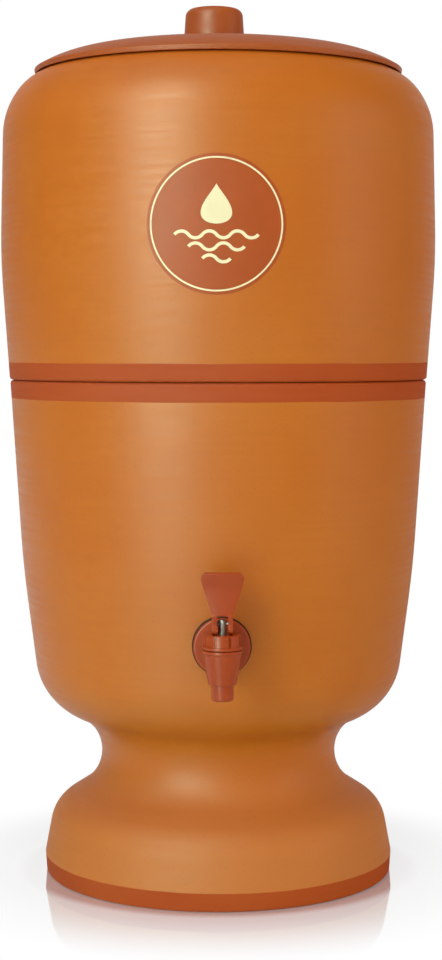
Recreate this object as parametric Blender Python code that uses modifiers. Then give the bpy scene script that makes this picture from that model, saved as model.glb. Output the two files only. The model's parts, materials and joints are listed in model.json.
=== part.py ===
"""Clay water filter: two stacked earthenware vessels, a lid, a filter candle, a float valve and a lever tap.

Metres, +Z up. The origin lies on the floor at the middle of the footprint, and the tap faces -Y.
Heights are given from the floor, from a vessel's own seat, or from the tap's axis, as each group says.
"""
import math

import bmesh
import bpy
from mathutils import Matrix, Vector

# Fits
GAP = 0.0003                  # between pieces that touch
HOLE_PLAY = 0.0010            # round what passes through a hole in the clay
CUT_PAST = 0.0050             # how far a cutter runs past what it cuts
FINE_EDGE = 0.0003            # roundings of the small pieces' edges
SMALL_EDGE = 0.0006

# Lower vessel: bowl and hollow pedestal in one piece of clay, heights from the floor
CLAY_WALL = 0.0095
CLAY_EDGE = 0.0018            # rounding of the vessels' edges
FOOT_BASE_RADIUS = 0.0985
FOOT_RADIUS = 0.0993
FOOT_HEIGHT = 0.0106
FOOT_WALL = 0.0110
FOOT_FILLET = 0.0040
SHOULDER_RADIUS = 0.0943
SHOULDER_HEIGHT = 0.0374
SHOULDER_FILLET = 0.0206
WAIST_CORNER_RADIUS = 0.0395  # where the slopes over and under the waist would meet
WAIST_CORNER_HEIGHT = 0.0722
WAIST_FILLET = 0.0234
BOWL_RADIUS = 0.1018
BOWL_HEIGHT = 0.0974
BOWL_FILLET = 0.0370
BELLY_RADIUS = 0.1121
BELLY_HEIGHT = 0.1737
BELLY_FILLET = 0.5870
RIM_RADIUS = 0.1196
RIM_HEIGHT = 0.2804
BOWL_FLOOR_RISE = 0.0055      # bowl floor over the waist's corner
BOWL_FLOOR_THICKNESS = 0.0120
INSIDE_FILLET = 0.0120

# Upper vessel, heights from its seat on the lower rim
UPPER_SEAT_RADIUS = 0.1198
UPPER_BELLY_RADIUS = 0.1251
UPPER_BELLY_HEIGHT = 0.0695
UPPER_BELLY_FILLET = 0.4030
UPPER_SHOULDER_RADIUS = 0.1236
UPPER_SHOULDER_HEIGHT = 0.1550
UPPER_SHOULDER_FILLET = 0.0450
UPPER_NECK_RADIUS = 0.1107
UPPER_NECK_HEIGHT = 0.1707
UPPER_NECK_FILLET = 0.0280
UPPER_LIP_RADIUS = 0.1012
UPPER_HEIGHT = 0.1756
LIP_EDGE = 0.0009
MOUTH_RADIUS = 0.0970
SPIGOT_DEPTH = 0.0087         # locating step inside the lower rim
SPIGOT_PLAY = 0.0013
UPPER_FLOOR_THICKNESS = 0.0120

# Lid, heights from its seat on the upper rim
LID_RADIUS = 0.1060
LID_EDGE_HEIGHT = 0.0016
LID_EDGE = 0.0006
LID_CROWN_RADIUS = 0.0898
LID_CROWN_HEIGHT = 0.0114
LID_CROWN_FILLET = 0.0730
LID_TOP_HEIGHT = 0.0150
LID_THICKNESS = 0.0090
SKIRT_DEPTH = 0.0120
SKIRT_WALL = 0.0085
SKIRT_FILLET = 0.0060
SKIRT_PLAY = 0.0015
KNOB_TOP_HEIGHT = 0.0379
KNOB_RADIUS = 0.0178
KNOB_TOP_RADIUS = 0.0163
KNOB_ROUNDING = 0.0045
KNOB_FOOT_RADIUS = 0.0205
KNOB_FOOT_FILLET = 0.0045
KNOB_OFF_CENTRE = 0.0023      # set on by hand, a little to the left

# Tap: its tail's axis is level, its valve's axis is upright; heights from the tail's axis
TAP_HEIGHT = 0.1428
TAIL_RADIUS = 0.0080
TAIL_PAST_WALL = 0.0130
TAIL_BORE_RADIUS = 0.0050
FLANGE_RADIUS = 0.0150
FLANGE_THICKNESS = 0.0025
FLANGE_EDGE = 0.0009
OUTER_GASKET_RADIUS = 0.0156
OUTER_GASKET_LEAST = 0.0018   # at its top, where the wall leans out most
INNER_GASKET_RADIUS = 0.0135
INNER_GASKET_THICKNESS = 0.0030
NUT_SIDES = 6
NUT_RADIUS = 0.0140
NUT_THICKNESS = 0.0070
NUT_CORNER = 0.0014
VALVE_STANDOFF = 0.0163       # valve axis in front of the flange
TAP_NECK_RADIUS = 0.0080
BARREL_RING_RADIUS = 0.0104
BARREL_RING_TOP = 0.0012
BARREL_RING_THICKNESS = 0.0016
BARREL_WAIST_RADIUS = 0.0083
BARREL_WAIST_HEIGHT = -0.0108
BARREL_FILLET = 0.0060
BARREL_FOOT_RADIUS = 0.0073
BARREL_FOOT_HEIGHT = -0.0164
SPOUT_RADIUS = 0.0057
SPOUT_END_HEIGHT = -0.0250
SPOUT_ROUNDING = 0.0013
SPOUT_BORE_RADIUS = 0.0038
NOZZLE_THREAD_RADIUS = 0.0076
NOZZLE_THREAD_TOP = 0.0042
CHAMBER_RADIUS = 0.0062
CHAMBER_FLOOR = -0.0095
PASSAGE_RADIUS = 0.0024
PASSAGE_START_DROP = 0.0032
PASSAGE_END_DROP = 0.0064
CAP_RADIUS = 0.0096
CAP_TOP = 0.0092
CAP_ROOF = 0.0033
CAP_RING_THICKNESS = 0.0017
CAP_NOTCHES = 8
CAP_NOTCH_WIDTH = 0.0012
CAP_NOTCH_DEPTH = 0.0009
CAP_EDGE = 0.0009
STEM_RADIUS = 0.0022
PIN_RADIUS = 0.0010
CUP_PLUG_RADIUS = 0.0048
CUP_PLUG_THICKNESS = 0.0030
CUP_WALL = 0.0009
CUP_RIM_THICKNESS = 0.0011

# Tap lever, heights from its pin
LEVER_SWING = 40.0            # degrees, forward from upright
LIFT_PER_RADIAN = 0.0035      # how fast the heel's curve lifts the stem
HEEL_DEPTH = 0.0050
HEEL_BACK = 0.0036
HEEL_SPARE_SWING = 4.0        # degrees of curve past the last contact
LEG_WIDTH = 0.0022
LEG_SLOT = 0.0061
LEG_SLOT_TOP = 0.0043
PADDLE_MIDDLE_WIDTH = 0.0192
PADDLE_MIDDLE_HEIGHT = 0.0172
PADDLE_WIDTH = 0.0237
PADDLE_HEIGHT = 0.0264
PADDLE_CORNER = 0.0030
PADDLE_THICKNESS = 0.0032
PADDLE_EDGE = 0.0010
PADDLE_LEAN = 0.0020          # how far its top stands in front of the pin

# Filter candle, standing on the upper floor
CANDLE_RADIUS = 0.0270
CANDLE_HEIGHT = 0.1050
CANDLE_DOME_FILLET = 0.0210
CANDLE_WALL = 0.0080
CANDLE_BASE_RADIUS = 0.0305
CANDLE_BASE_FLOOR = 0.0040
CANDLE_BASE_LIP = 0.0110
CANDLE_STEM_RADIUS = 0.0050
CANDLE_STEM_LENGTH = 0.0430   # below the base
CANDLE_STEM_BORE = 0.0020
CANDLE_GASKET_RADIUS = 0.0160
CANDLE_GASKET_THICKNESS = 0.0027
CANDLE_WASHER_RADIUS = 0.0130
CANDLE_WASHER_THICKNESS = 0.0020
WING_NUT_RADIUS = 0.0085
WING_NUT_HEIGHT = 0.0080
WING_SPAN = 0.0340
WING_THICKNESS = 0.0026
WING_FILLET = 0.0027
WING_DROP = 0.0008            # nut's ends past its wings

# Float valve on the candle's stem, in the lower vessel
VALVE_BODY_RADIUS = 0.0085
VALVE_BODY_HEIGHT = 0.0190
VALVE_SOCKET_DEPTH = 0.0110
VALVE_NOZZLE_RADIUS = 0.0030
VALVE_NOZZLE_HEIGHT = 0.0015
VALVE_NOZZLE_BORE = 0.0014
EAR_RADIUS = 0.0036
EAR_THICKNESS = 0.0020
FLOAT_PIVOT_X = 0.0125
FLOAT_PIN_RADIUS = 0.0012
FLOAT_SWING = 25.0            # degrees, from hanging to shut
ARM_WIDTH = 0.0080
ARM_THICKNESS = 0.0024
FLOAT_REACH = 0.0600          # pivot to float
FLOAT_RADIUS = 0.0210
FLOAT_HEIGHT = 0.0260
FLOAT_WALL = 0.0015
FLOAT_ROUNDING = 0.0065
FLOAT_LIP = 0.0025            # lower half's lip inside the upper half
STUD_RADIUS = 0.0030
STUD_HEAD = 0.0040
STUD_HEAD_HEIGHT = 0.0012
RING_RADIUS = 0.0075
PAD_RADIUS = 0.0042
PAD_PROUD = 0.0015

# Facets
CLAY_STEPS = 36
SMALL_STEPS = 18
TINY_STEPS = 12
# The widest turn between two points of a fillet, by the least fillet that it holds for
ARC_TURNS = ((0.1, math.radians(3)), (0.0055, math.radians(26)), (0.0019, math.radians(46)), (0, math.pi))

CLAY = ((0.552, 0.202, 0.059), 0.62)
LID_CLAY = ((0.474, 0.138, 0.044), 0.58)
TAP_PLASTIC = ((0.402, 0.082, 0.030), 0.36)
RUBBER = ((0.030, 0.026, 0.024), 0.75)
WHITE_PLASTIC = ((0.760, 0.750, 0.720), 0.40)
CERAMIC = ((0.800, 0.780, 0.730), 0.85)
CARBON = ((0.020, 0.020, 0.022), 0.90)
STEEL = ((0.560, 0.570, 0.580), 0.28)
SILICONE = ((0.620, 0.620, 0.600), 0.50)


# Outlines

def rounded(corners, closed=False):
    """Points of an outline of (across, up, fillet) corners, each fillet an arc held within its sides."""
    count = len(corners)
    spots = [Vector(corner[:2]) for corner in corners]
    inner = range(count) if closed else range(1, count - 1)
    turns, reaches = {}, [0.0] * count
    for i in inner:
        to_last = (spots[i - 1] - spots[i]).normalized()
        to_next = (spots[(i + 1) % count] - spots[i]).normalized()
        turns[i] = to_last, to_next, to_last.angle(to_next)
        if corners[i][2] > 0 and turns[i][2] < math.pi - 1e-4:
            reaches[i] = corners[i][2] / math.tan(turns[i][2] / 2)
    shares = [1.0] * count
    for i in range(count if closed else count - 1):
        after = (i + 1) % count
        wanted = reaches[i] + reaches[after]
        side = (spots[after] - spots[i]).length
        if wanted > side:
            shares[i] = min(shares[i], 0.999 * side / wanted)
            shares[after] = min(shares[after], 0.999 * side / wanted)
    points = []
    for i, spot in enumerate(spots):
        if reaches[i] == 0.0:
            points.append(spot)
            continue
        to_last, to_next, angle = turns[i]
        reach = reaches[i] * shares[i]
        radius = reach * math.tan(angle / 2)
        centre = spot + (to_last + to_next).normalized() * radius / math.sin(angle / 2)
        spoke = spot + to_last * reach - centre
        sweep = math.pi - angle
        if to_last.cross(to_next) > 0:
            sweep = -sweep
        widest_turn = next(turn for least, turn in ARC_TURNS if radius >= least)
        steps = math.ceil(abs(sweep) / widest_turn)
        for k in range(steps + 1):
            points.append(centre + Matrix.Rotation(sweep * k / steps, 2) @ spoke)
    return points


def inset(corners, wall):
    """The outline, which runs down its outer side, moved inwards by a wall, with its fillets concentric."""
    spots = [Vector(corner[:2]) for corner in corners]
    runs = [(b - a).normalized() for a, b in zip(spots, spots[1:])]
    moved = [Vector((run.y, -run.x)) * wall for run in runs]
    result = []
    for i, spot in enumerate(spots):
        fillet = corners[i][2]
        if i == 0 or i == len(spots) - 1:
            place = spot + moved[min(i, len(runs) - 1)]
        else:
            turn = runs[i - 1].cross(runs[i])
            start = spots[i] + moved[i - 1]
            ahead = (spots[i] + moved[i] - start).cross(runs[i]) / turn
            place = start + runs[i - 1] * ahead
            fillet = max(fillet + math.copysign(wall, turn), 0.0) if fillet else 0.0
        result.append((place.x, place.y, fillet))
    return result


def cross_height(a, b, height):
    """Radius at which the straight side through two corners reaches the height."""
    return a[0] + (b[0] - a[0]) * (height - a[1]) / (b[1] - a[1])


def radius_at(points, height):
    """Radius of an outline's first side that crosses the height."""
    for a, b in zip(points, points[1:]):
        if min(a[1], b[1]) <= height <= max(a[1], b[1]) and a[1] != b[1]:
            return cross_height(a, b, height)
    raise ValueError("the outline doesn't reach the height")


def disc_outline(radius, low, high, edge=0.0):
    """Outline of a plain disc or cylinder, from its top to its bottom."""
    return [(0, high, 0), (radius, high, edge), (radius, low, edge), (0, low, 0)]


def ring_outline(inner, outer, low, high, edge=0.0):
    """Closed outline of a ring."""
    return [(inner, high, 0), (outer, high, edge), (outer, low, edge), (inner, low, 0)]


# Sizes worked out from the ones above

LOWER_OUTER = [
    (RIM_RADIUS, RIM_HEIGHT, CLAY_EDGE),
    (BELLY_RADIUS, BELLY_HEIGHT, BELLY_FILLET),
    (BOWL_RADIUS, BOWL_HEIGHT, BOWL_FILLET),
    (WAIST_CORNER_RADIUS, WAIST_CORNER_HEIGHT, WAIST_FILLET),
    (SHOULDER_RADIUS, SHOULDER_HEIGHT, SHOULDER_FILLET),
    (FOOT_RADIUS, FOOT_HEIGHT, FOOT_FILLET),
    (FOOT_BASE_RADIUS, 0, CLAY_EDGE),
]
BOWL_OUTSIDE = rounded(LOWER_OUTER[:4])
BOWL_INSIDE = inset(LOWER_OUTER[:4], CLAY_WALL)
UPPER_SEAT = RIM_HEIGHT + GAP
LID_SEAT = UPPER_SEAT + UPPER_HEIGHT + GAP
SPIGOT_RADIUS = radius_at(BOWL_INSIDE, RIM_HEIGHT - SPIGOT_DEPTH) - SPIGOT_PLAY
UPPER_BOTTOM = UPPER_SEAT - SPIGOT_DEPTH
UPPER_FLOOR = UPPER_BOTTOM + UPPER_FLOOR_THICKNESS

FLANGE_BACK = radius_at(BOWL_OUTSIDE, TAP_HEIGHT + FLANGE_RADIUS) + OUTER_GASKET_LEAST
FLANGE_FRONT = FLANGE_BACK + FLANGE_THICKNESS
VALVE_Y = FLANGE_FRONT + VALVE_STANDOFF
WALL_INSIDE = radius_at(BOWL_INSIDE, TAP_HEIGHT)
WALL_MIDDLE = WALL_INSIDE + CLAY_WALL / 2
TAIL_END = WALL_INSIDE - TAIL_PAST_WALL
PIN_HEIGHT = TAP_HEIGHT + CAP_TOP + GAP + HEEL_DEPTH
HEEL_REACH = LIFT_PER_RADIAN  # the heel touches the cap this far in front of the pin

CANDLE_GASKET_BOTTOM = UPPER_FLOOR + GAP
CANDLE_BASE_BOTTOM = CANDLE_GASKET_BOTTOM + CANDLE_GASKET_THICKNESS + GAP
CANDLE_SHELL_BOTTOM = CANDLE_BASE_BOTTOM + CANDLE_BASE_FLOOR + GAP
CANDLE_STEM_END = CANDLE_BASE_BOTTOM - CANDLE_STEM_LENGTH
CANDLE_WASHER_TOP = UPPER_BOTTOM - GAP
WING_NUT_TOP = CANDLE_WASHER_TOP - CANDLE_WASHER_THICKNESS - GAP
VALVE_BODY_BOTTOM = CANDLE_STEM_END - GAP + VALVE_SOCKET_DEPTH - VALVE_BODY_HEIGHT
NOZZLE_END = VALVE_BODY_BOTTOM - VALVE_NOZZLE_HEIGHT
FLOAT_PIVOT_Z = NOZZLE_END - GAP - PAD_PROUD - ARM_THICKNESS / 2

# The footprint runs from the barrel's ring in front to the widest belly behind
AXIS_Y = (VALVE_Y + BARREL_RING_RADIUS - UPPER_BELLY_RADIUS) / 2


# Modelling

def clear_scene():
    for thing in list(bpy.data.objects):
        bpy.data.objects.remove(thing, do_unlink=True)


def new_collection(name):
    made = bpy.data.collections.new(name)
    bpy.context.scene.collection.children.link(made)
    return made


clear_scene()
PIECES = new_collection("clay_water_filter")
CUTTERS = new_collection("cutters")


def material(name, look):
    colour, roughness = look
    made = bpy.data.materials.new(name)
    made.use_nodes = True
    shader = made.node_tree.nodes["Principled BSDF"]
    shader.inputs["Base Color"].default_value = (*colour, 1.0)
    shader.inputs["Roughness"].default_value = roughness
    shader.inputs["Metallic"].default_value = 1.0 if look is STEEL else 0.0
    return made


def empty(name, place, parent=None, turn=(0, 0, 0)):
    made = bpy.data.objects.new(name, None)
    made.location, made.rotation_euler, made.parent = place, turn, parent
    PIECES.objects.link(made)
    return made


def add_object(name, mesh, parent, look=None, place=(0, 0, 0), turn=(0, 0, 0)):
    """A piece with a look of its own, or a cutter if it has none."""
    made = bpy.data.objects.new(name, mesh)
    made.location, made.rotation_euler, made.parent = place, turn, parent
    if look:
        mesh.materials.append(material(name, look))
        PIECES.objects.link(made)
    else:
        made.hide_render = True
        made.display_type = "WIRE"
        CUTTERS.objects.link(made)
    return made


def turned(name, corners, parent, look=None, steps=SMALL_STEPS, closed=False, **where):
    """A profile of (radius, height, fillet) corners, outer side downwards, turned about its own Z axis."""
    points = rounded(corners, closed)
    shape = bmesh.new()
    verts = [shape.verts.new((point[0], 0, point[1])) for point in points]
    for a, b in zip(verts, verts[1:] + verts[:1] if closed else verts[1:]):
        shape.edges.new((a, b))
    mesh = bpy.data.meshes.new(name)
    shape.to_mesh(mesh)
    shape.free()
    made = add_object(name, mesh, parent, look, **where)
    screw = made.modifiers.new("turn", "SCREW")
    screw.axis = "Z"
    screw.steps = screw.render_steps = steps
    screw.use_merge_vertices = True
    screw.merge_threshold = 0.00001
    screw.use_smooth_shade = True
    return made


def prism(name, corners, low, high, parent, look=None, **where):
    """A closed outline of (x, y, fillet) corners, anticlockwise, raised from low to high along its own Z."""
    shape = bmesh.new()
    face = shape.faces.new([shape.verts.new((*point, low)) for point in rounded(corners, closed=True)])
    raised = bmesh.ops.extrude_face_region(shape, geom=[face])["geom"]
    tops = [item for item in raised if isinstance(item, bmesh.types.BMVert)]
    bmesh.ops.translate(shape, verts=tops, vec=(0, 0, high - low))
    bmesh.ops.recalc_face_normals(shape, faces=shape.faces)
    mesh = bpy.data.meshes.new(name)
    shape.to_mesh(mesh)
    shape.free()
    return add_object(name, mesh, parent, look, **where)


def combine(piece, operation, *others):
    for other in others:
        change = piece.modifiers.new(f"{operation} {other.name}".lower(), "BOOLEAN")
        change.operation = operation
        change.object = other
        change.solver = "EXACT"


FACING_FRONT = (math.pi / 2, 0, 0)   # local Z points to the front, along -Y
FACING_RIGHT = (math.pi / 2, 0, math.pi / 2)   # local X to the back, local Y up, local Z to the right

vessel_axis = empty("vessel_axis", (0, AXIS_Y, 0))
tail_axis = empty("tail_axis", (0, 0, TAP_HEIGHT), vessel_axis, FACING_FRONT)
valve_axis = empty("valve_axis", (0, -VALVE_Y, TAP_HEIGHT), vessel_axis)
lever_axis = empty("lever_axis", (0, -VALVE_Y, PIN_HEIGHT), vessel_axis)
upper_axis = empty("upper_axis", (0, 0, UPPER_SEAT), vessel_axis)
lid_axis = empty("lid_axis", (0, 0, LID_SEAT), vessel_axis)
float_axis = empty("float_axis", (FLOAT_PIVOT_X, 0, FLOAT_PIVOT_Z), vessel_axis,
                   (0, -math.radians(FLOAT_SWING), 0))


# Clay vessels and lid

def make_lower_vessel():
    rim_inside = radius_at(BOWL_INSIDE, RIM_HEIGHT - GAP)
    floor = WAIST_CORNER_HEIGHT + BOWL_FLOOR_RISE
    roof = floor - BOWL_FLOOR_THICKNESS
    pedestal = inset(LOWER_OUTER[3:], FOOT_WALL)
    inside_rim_to_bowl = [BOWL_INSIDE[2], BOWL_INSIDE[1], (rim_inside, RIM_HEIGHT, CLAY_EDGE)]
    corners = [(0, floor, 0), (cross_height(*BOWL_INSIDE[2:], floor), floor, INSIDE_FILLET)]
    corners += inside_rim_to_bowl + LOWER_OUTER
    corners += [(pedestal[3][0], 0, CLAY_EDGE), pedestal[2], pedestal[1]]
    corners += [(cross_height(*pedestal[:2], roof), roof, INSIDE_FILLET), (0, roof, 0)]
    vessel = turned("lower_vessel", corners, vessel_axis, CLAY, CLAY_STEPS)
    hole = turned("tap_hole", disc_outline(TAIL_RADIUS + HOLE_PLAY, TAIL_END, VALVE_Y), tail_axis)
    combine(vessel, "DIFFERENCE", hole)


def make_upper_vessel():
    outer = [
        (UPPER_LIP_RADIUS, UPPER_HEIGHT, LIP_EDGE),
        (UPPER_NECK_RADIUS, UPPER_NECK_HEIGHT, UPPER_NECK_FILLET),
        (UPPER_SHOULDER_RADIUS, UPPER_SHOULDER_HEIGHT, UPPER_SHOULDER_FILLET),
        (UPPER_BELLY_RADIUS, UPPER_BELLY_HEIGHT, UPPER_BELLY_FILLET),
        (UPPER_SEAT_RADIUS, 0, CLAY_EDGE),
    ]
    inside = inset(outer, CLAY_WALL)
    lip, neck = Vector(inside[0][:2]), Vector(inside[1][:2])
    under_mouth = lip.y + (neck.y - lip.y) * (MOUTH_RADIUS - lip.x) / (neck.x - lip.x)
    floor = UPPER_FLOOR - UPPER_SEAT
    hole = CANDLE_STEM_RADIUS + HOLE_PLAY
    corners = [(hole, floor, 0), (cross_height(*inside[3:], floor), floor, INSIDE_FILLET)]
    corners += [inside[3], inside[2], inside[1], (MOUTH_RADIUS, under_mouth, CLAY_EDGE)]
    corners += [(MOUTH_RADIUS, UPPER_HEIGHT, CLAY_EDGE)] + outer
    corners += [(SPIGOT_RADIUS, 0, 0), (SPIGOT_RADIUS, -SPIGOT_DEPTH, CLAY_EDGE), (hole, -SPIGOT_DEPTH, 0)]
    turned("upper_vessel", corners, upper_axis, CLAY, CLAY_STEPS, closed=True)


def make_lid():
    skirt = MOUTH_RADIUS - SKIRT_PLAY
    underside = LID_TOP_HEIGHT - LID_THICKNESS
    corners = [
        (0, LID_TOP_HEIGHT, 0),
        (LID_CROWN_RADIUS, LID_CROWN_HEIGHT, LID_CROWN_FILLET),
        (LID_RADIUS, LID_EDGE_HEIGHT, LID_EDGE),
        (LID_RADIUS - LID_EDGE, 0, LID_EDGE),
        (skirt, 0, 0),
        (skirt, -SKIRT_DEPTH, CLAY_EDGE),
        (skirt - SKIRT_WALL, -SKIRT_DEPTH, CLAY_EDGE),
        (skirt - SKIRT_WALL, underside - LID_TOP_HEIGHT + LID_CROWN_HEIGHT, SKIRT_FILLET),
        (0, underside, 0),
    ]
    lid = turned("lid", corners, lid_axis, LID_CLAY, CLAY_STEPS)
    buried = LID_TOP_HEIGHT - LID_THICKNESS / 2
    knob = turned("lid_knob", [
        (0, KNOB_TOP_HEIGHT, 0),
        (KNOB_TOP_RADIUS, KNOB_TOP_HEIGHT, KNOB_ROUNDING),
        (KNOB_RADIUS, LID_TOP_HEIGHT, KNOB_FOOT_FILLET),
        (KNOB_FOOT_RADIUS, buried, 0),
        (0, buried, 0),
    ], lid_axis, place=(-KNOB_OFF_CENTRE, 0, 0))
    combine(lid, "UNION", knob)


# Tap

def wall_clearance(name):
    """The bowl's wall grown by the gap on both sides, to cut what bears on it."""
    outer = inset(LOWER_OUTER[:4], -GAP)
    inner = inset(LOWER_OUTER[:4], CLAY_WALL + GAP)
    corners = [inner[2], inner[1], inner[0], outer[0], outer[1], outer[2]]
    return turned(name, corners, vessel_axis, steps=CLAY_STEPS, closed=True)


def make_tap_body():
    ring_bottom = BARREL_RING_TOP - BARREL_RING_THICKNESS
    body = turned("tap_body", [
        (0, NOZZLE_THREAD_TOP, 0),
        (NOZZLE_THREAD_RADIUS, NOZZLE_THREAD_TOP, 0),
        (NOZZLE_THREAD_RADIUS, BARREL_RING_TOP, 0),
        (BARREL_RING_RADIUS, BARREL_RING_TOP, FINE_EDGE),
        (BARREL_RING_RADIUS, ring_bottom, FINE_EDGE),
        (BARREL_RING_RADIUS - SMALL_EDGE, ring_bottom - SMALL_EDGE, BARREL_FILLET),
        (BARREL_WAIST_RADIUS, BARREL_WAIST_HEIGHT, BARREL_FILLET),
        (BARREL_FOOT_RADIUS, BARREL_FOOT_HEIGHT, FINE_EDGE),
        (SPOUT_RADIUS, BARREL_FOOT_HEIGHT, 0),
        (SPOUT_RADIUS, SPOUT_END_HEIGHT, SPOUT_ROUNDING),
        (0, SPOUT_END_HEIGHT, 0),
    ], valve_axis, TAP_PLASTIC)
    neck = turned("tap_neck", [
        (0, VALVE_Y, 0),
        (TAP_NECK_RADIUS, VALVE_Y, 0),
        (TAP_NECK_RADIUS, FLANGE_FRONT, FLANGE_EDGE),
        (FLANGE_RADIUS, FLANGE_FRONT, FLANGE_EDGE),
        (FLANGE_RADIUS, FLANGE_BACK, FINE_EDGE),
        (TAIL_RADIUS, FLANGE_BACK, 0),
        (TAIL_RADIUS, TAIL_END, FLANGE_EDGE),
        (0, TAIL_END, 0),
    ], tail_axis)
    room = disc_outline(BARREL_RING_RADIUS + GAP, BARREL_RING_TOP - GAP, VALVE_STANDOFF)
    cap_room = turned("cap_room", room, valve_axis)
    combine(neck, "DIFFERENCE", cap_room)
    chamber = turned("valve_chamber", [
        (0, CAP_TOP, 0),
        (CHAMBER_RADIUS, CAP_TOP, 0),
        (CHAMBER_RADIUS, CHAMBER_FLOOR, 0),
        (SPOUT_BORE_RADIUS, CHAMBER_FLOOR, 0),
        (SPOUT_BORE_RADIUS, SPOUT_END_HEIGHT - CUT_PAST, 0),
        (0, SPOUT_END_HEIGHT - CUT_PAST, 0),
    ], valve_axis)
    tail_hole = disc_outline(TAIL_BORE_RADIUS, TAIL_END - CUT_PAST, FLANGE_BACK)
    tail_bore = turned("tail_bore", tail_hole, tail_axis, steps=TINY_STEPS)
    start = Vector((0, -(FLANGE_BACK - TAIL_RADIUS), -PASSAGE_START_DROP))
    end = Vector((0, -VALVE_Y, -PASSAGE_END_DROP))
    run = end - start
    passage = turned("inlet_passage", disc_outline(PASSAGE_RADIUS, 0, run.length), vessel_axis,
                     steps=TINY_STEPS, place=start + Vector((0, 0, TAP_HEIGHT)),
                     turn=run.to_track_quat("Z", "X").to_euler())
    combine(body, "UNION", neck)
    combine(body, "DIFFERENCE", chamber, tail_bore, passage)


def make_tap_seals():
    wall = wall_clearance("wall_clearance")
    outer = turned("tap_outer_gasket", ring_outline(TAIL_RADIUS + GAP, OUTER_GASKET_RADIUS, WALL_MIDDLE,
                                                    FLANGE_BACK - GAP), tail_axis, RUBBER, closed=True)
    nut_front = WALL_INSIDE - GAP - INNER_GASKET_THICKNESS
    inner = turned("tap_inner_gasket", ring_outline(TAIL_RADIUS + GAP, INNER_GASKET_RADIUS, nut_front,
                                                    WALL_MIDDLE), tail_axis, RUBBER, closed=True)
    combine(outer, "DIFFERENCE", wall)
    combine(inner, "DIFFERENCE", wall)
    turns = [2 * math.pi * (k + 0.5) / NUT_SIDES for k in range(NUT_SIDES)]
    corners = [(NUT_RADIUS * math.cos(turn), NUT_RADIUS * math.sin(turn), NUT_CORNER) for turn in turns]
    nut_face = nut_front - GAP
    nut = prism("tap_nut", corners, nut_face - NUT_THICKNESS, nut_face, tail_axis, WHITE_PLASTIC)
    thread = turned("nut_thread", disc_outline(TAIL_RADIUS + GAP, 0, FLANGE_BACK), tail_axis)
    combine(nut, "DIFFERENCE", thread)


def make_tap_cap():
    bottom = BARREL_RING_TOP + GAP
    bore = NOZZLE_THREAD_RADIUS + GAP
    hole = STEM_RADIUS + GAP
    cap = turned("tap_cap", [
        (hole, CAP_TOP, 0),
        (CAP_RADIUS, CAP_TOP, CAP_EDGE),
        (CAP_RADIUS, bottom + CAP_RING_THICKNESS, 0),
        (BARREL_RING_RADIUS, bottom + CAP_RING_THICKNESS, FINE_EDGE),
        (BARREL_RING_RADIUS, bottom, FINE_EDGE),
        (bore, bottom, 0),
        (bore, CAP_TOP - CAP_ROOF, 0),
        (hole, CAP_TOP - CAP_ROOF, 0),
    ], valve_axis, TAP_PLASTIC, closed=True)
    shape = bmesh.new()
    low = bottom + CAP_RING_THICKNESS + GAP
    for k in range(CAP_NOTCHES):
        size = Matrix.Diagonal((2 * CAP_NOTCH_DEPTH, CAP_NOTCH_WIDTH, 2 * (CAP_TOP - low), 1))
        spin = Matrix.Rotation(2 * math.pi * (k + 0.5) / CAP_NOTCHES - math.pi / 2, 4, "Z")
        place = spin @ Matrix.Translation((CAP_RADIUS, 0, CAP_TOP))
        bmesh.ops.create_cube(shape, size=1, matrix=place @ size)
    mesh = bpy.data.meshes.new("cap_notches")
    shape.to_mesh(mesh)
    shape.free()
    combine(cap, "DIFFERENCE", add_object("cap_notches", mesh, valve_axis))


def make_seat_cup():
    """Soft bell clamped by its rim under the cap, whose plug shuts the spout."""
    bore = STEM_RADIUS + GAP
    floor = CHAMBER_FLOOR + GAP
    rim_low = NOZZLE_THREAD_TOP + GAP
    rim_high = rim_low + CUP_RIM_THICKNESS
    neck = bore + CUP_WALL
    widest = CHAMBER_RADIUS - CUP_WALL
    turned("seat_cup", [
        (0, floor + CUP_PLUG_THICKNESS, 0),
        (bore, floor + CUP_PLUG_THICKNESS, 0),
        (bore, rim_low - 2 * CUP_PLUG_THICKNESS, CUP_WALL),
        (widest - CUP_WALL, rim_low - CUP_PLUG_THICKNESS, CUP_WALL),
        (widest - CUP_WALL, rim_high, 0),
        (NOZZLE_THREAD_RADIUS, rim_high, FINE_EDGE),
        (NOZZLE_THREAD_RADIUS, rim_low, FINE_EDGE),
        (widest, rim_low, 0),
        (widest, rim_low - CUP_PLUG_THICKNESS - CUP_WALL, CUP_WALL),
        (neck, rim_low - 2 * CUP_PLUG_THICKNESS - CUP_WALL, CUP_WALL),
        (neck, floor + CUP_PLUG_THICKNESS, 0),
        (CUP_PLUG_RADIUS, floor + CUP_PLUG_THICKNESS - CUP_WALL, FINE_EDGE),
        (CUP_PLUG_RADIUS, floor, FINE_EDGE),
        (0, floor, 0),
    ], valve_axis, SILICONE)


def make_stem():
    top = PIN_HEIGHT - TAP_HEIGHT + STEM_RADIUS
    bottom = CHAMBER_FLOOR + CUP_PLUG_THICKNESS + 2 * GAP
    rod = disc_outline(STEM_RADIUS, bottom, top, SMALL_EDGE)
    stem = turned("tap_stem", rod, valve_axis, STEEL, TINY_STEPS)
    span = LEG_SLOT / 2 + LEG_WIDTH
    hole = turned("stem_pin_hole", disc_outline(PIN_RADIUS + GAP, -span, span), lever_axis, steps=TINY_STEPS,
                  turn=FACING_RIGHT)
    combine(stem, "DIFFERENCE", hole)
    turned("lever_pin", disc_outline(PIN_RADIUS, -span, span, FINE_EDGE), lever_axis, STEEL, TINY_STEPS,
           turn=FACING_RIGHT)


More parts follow.
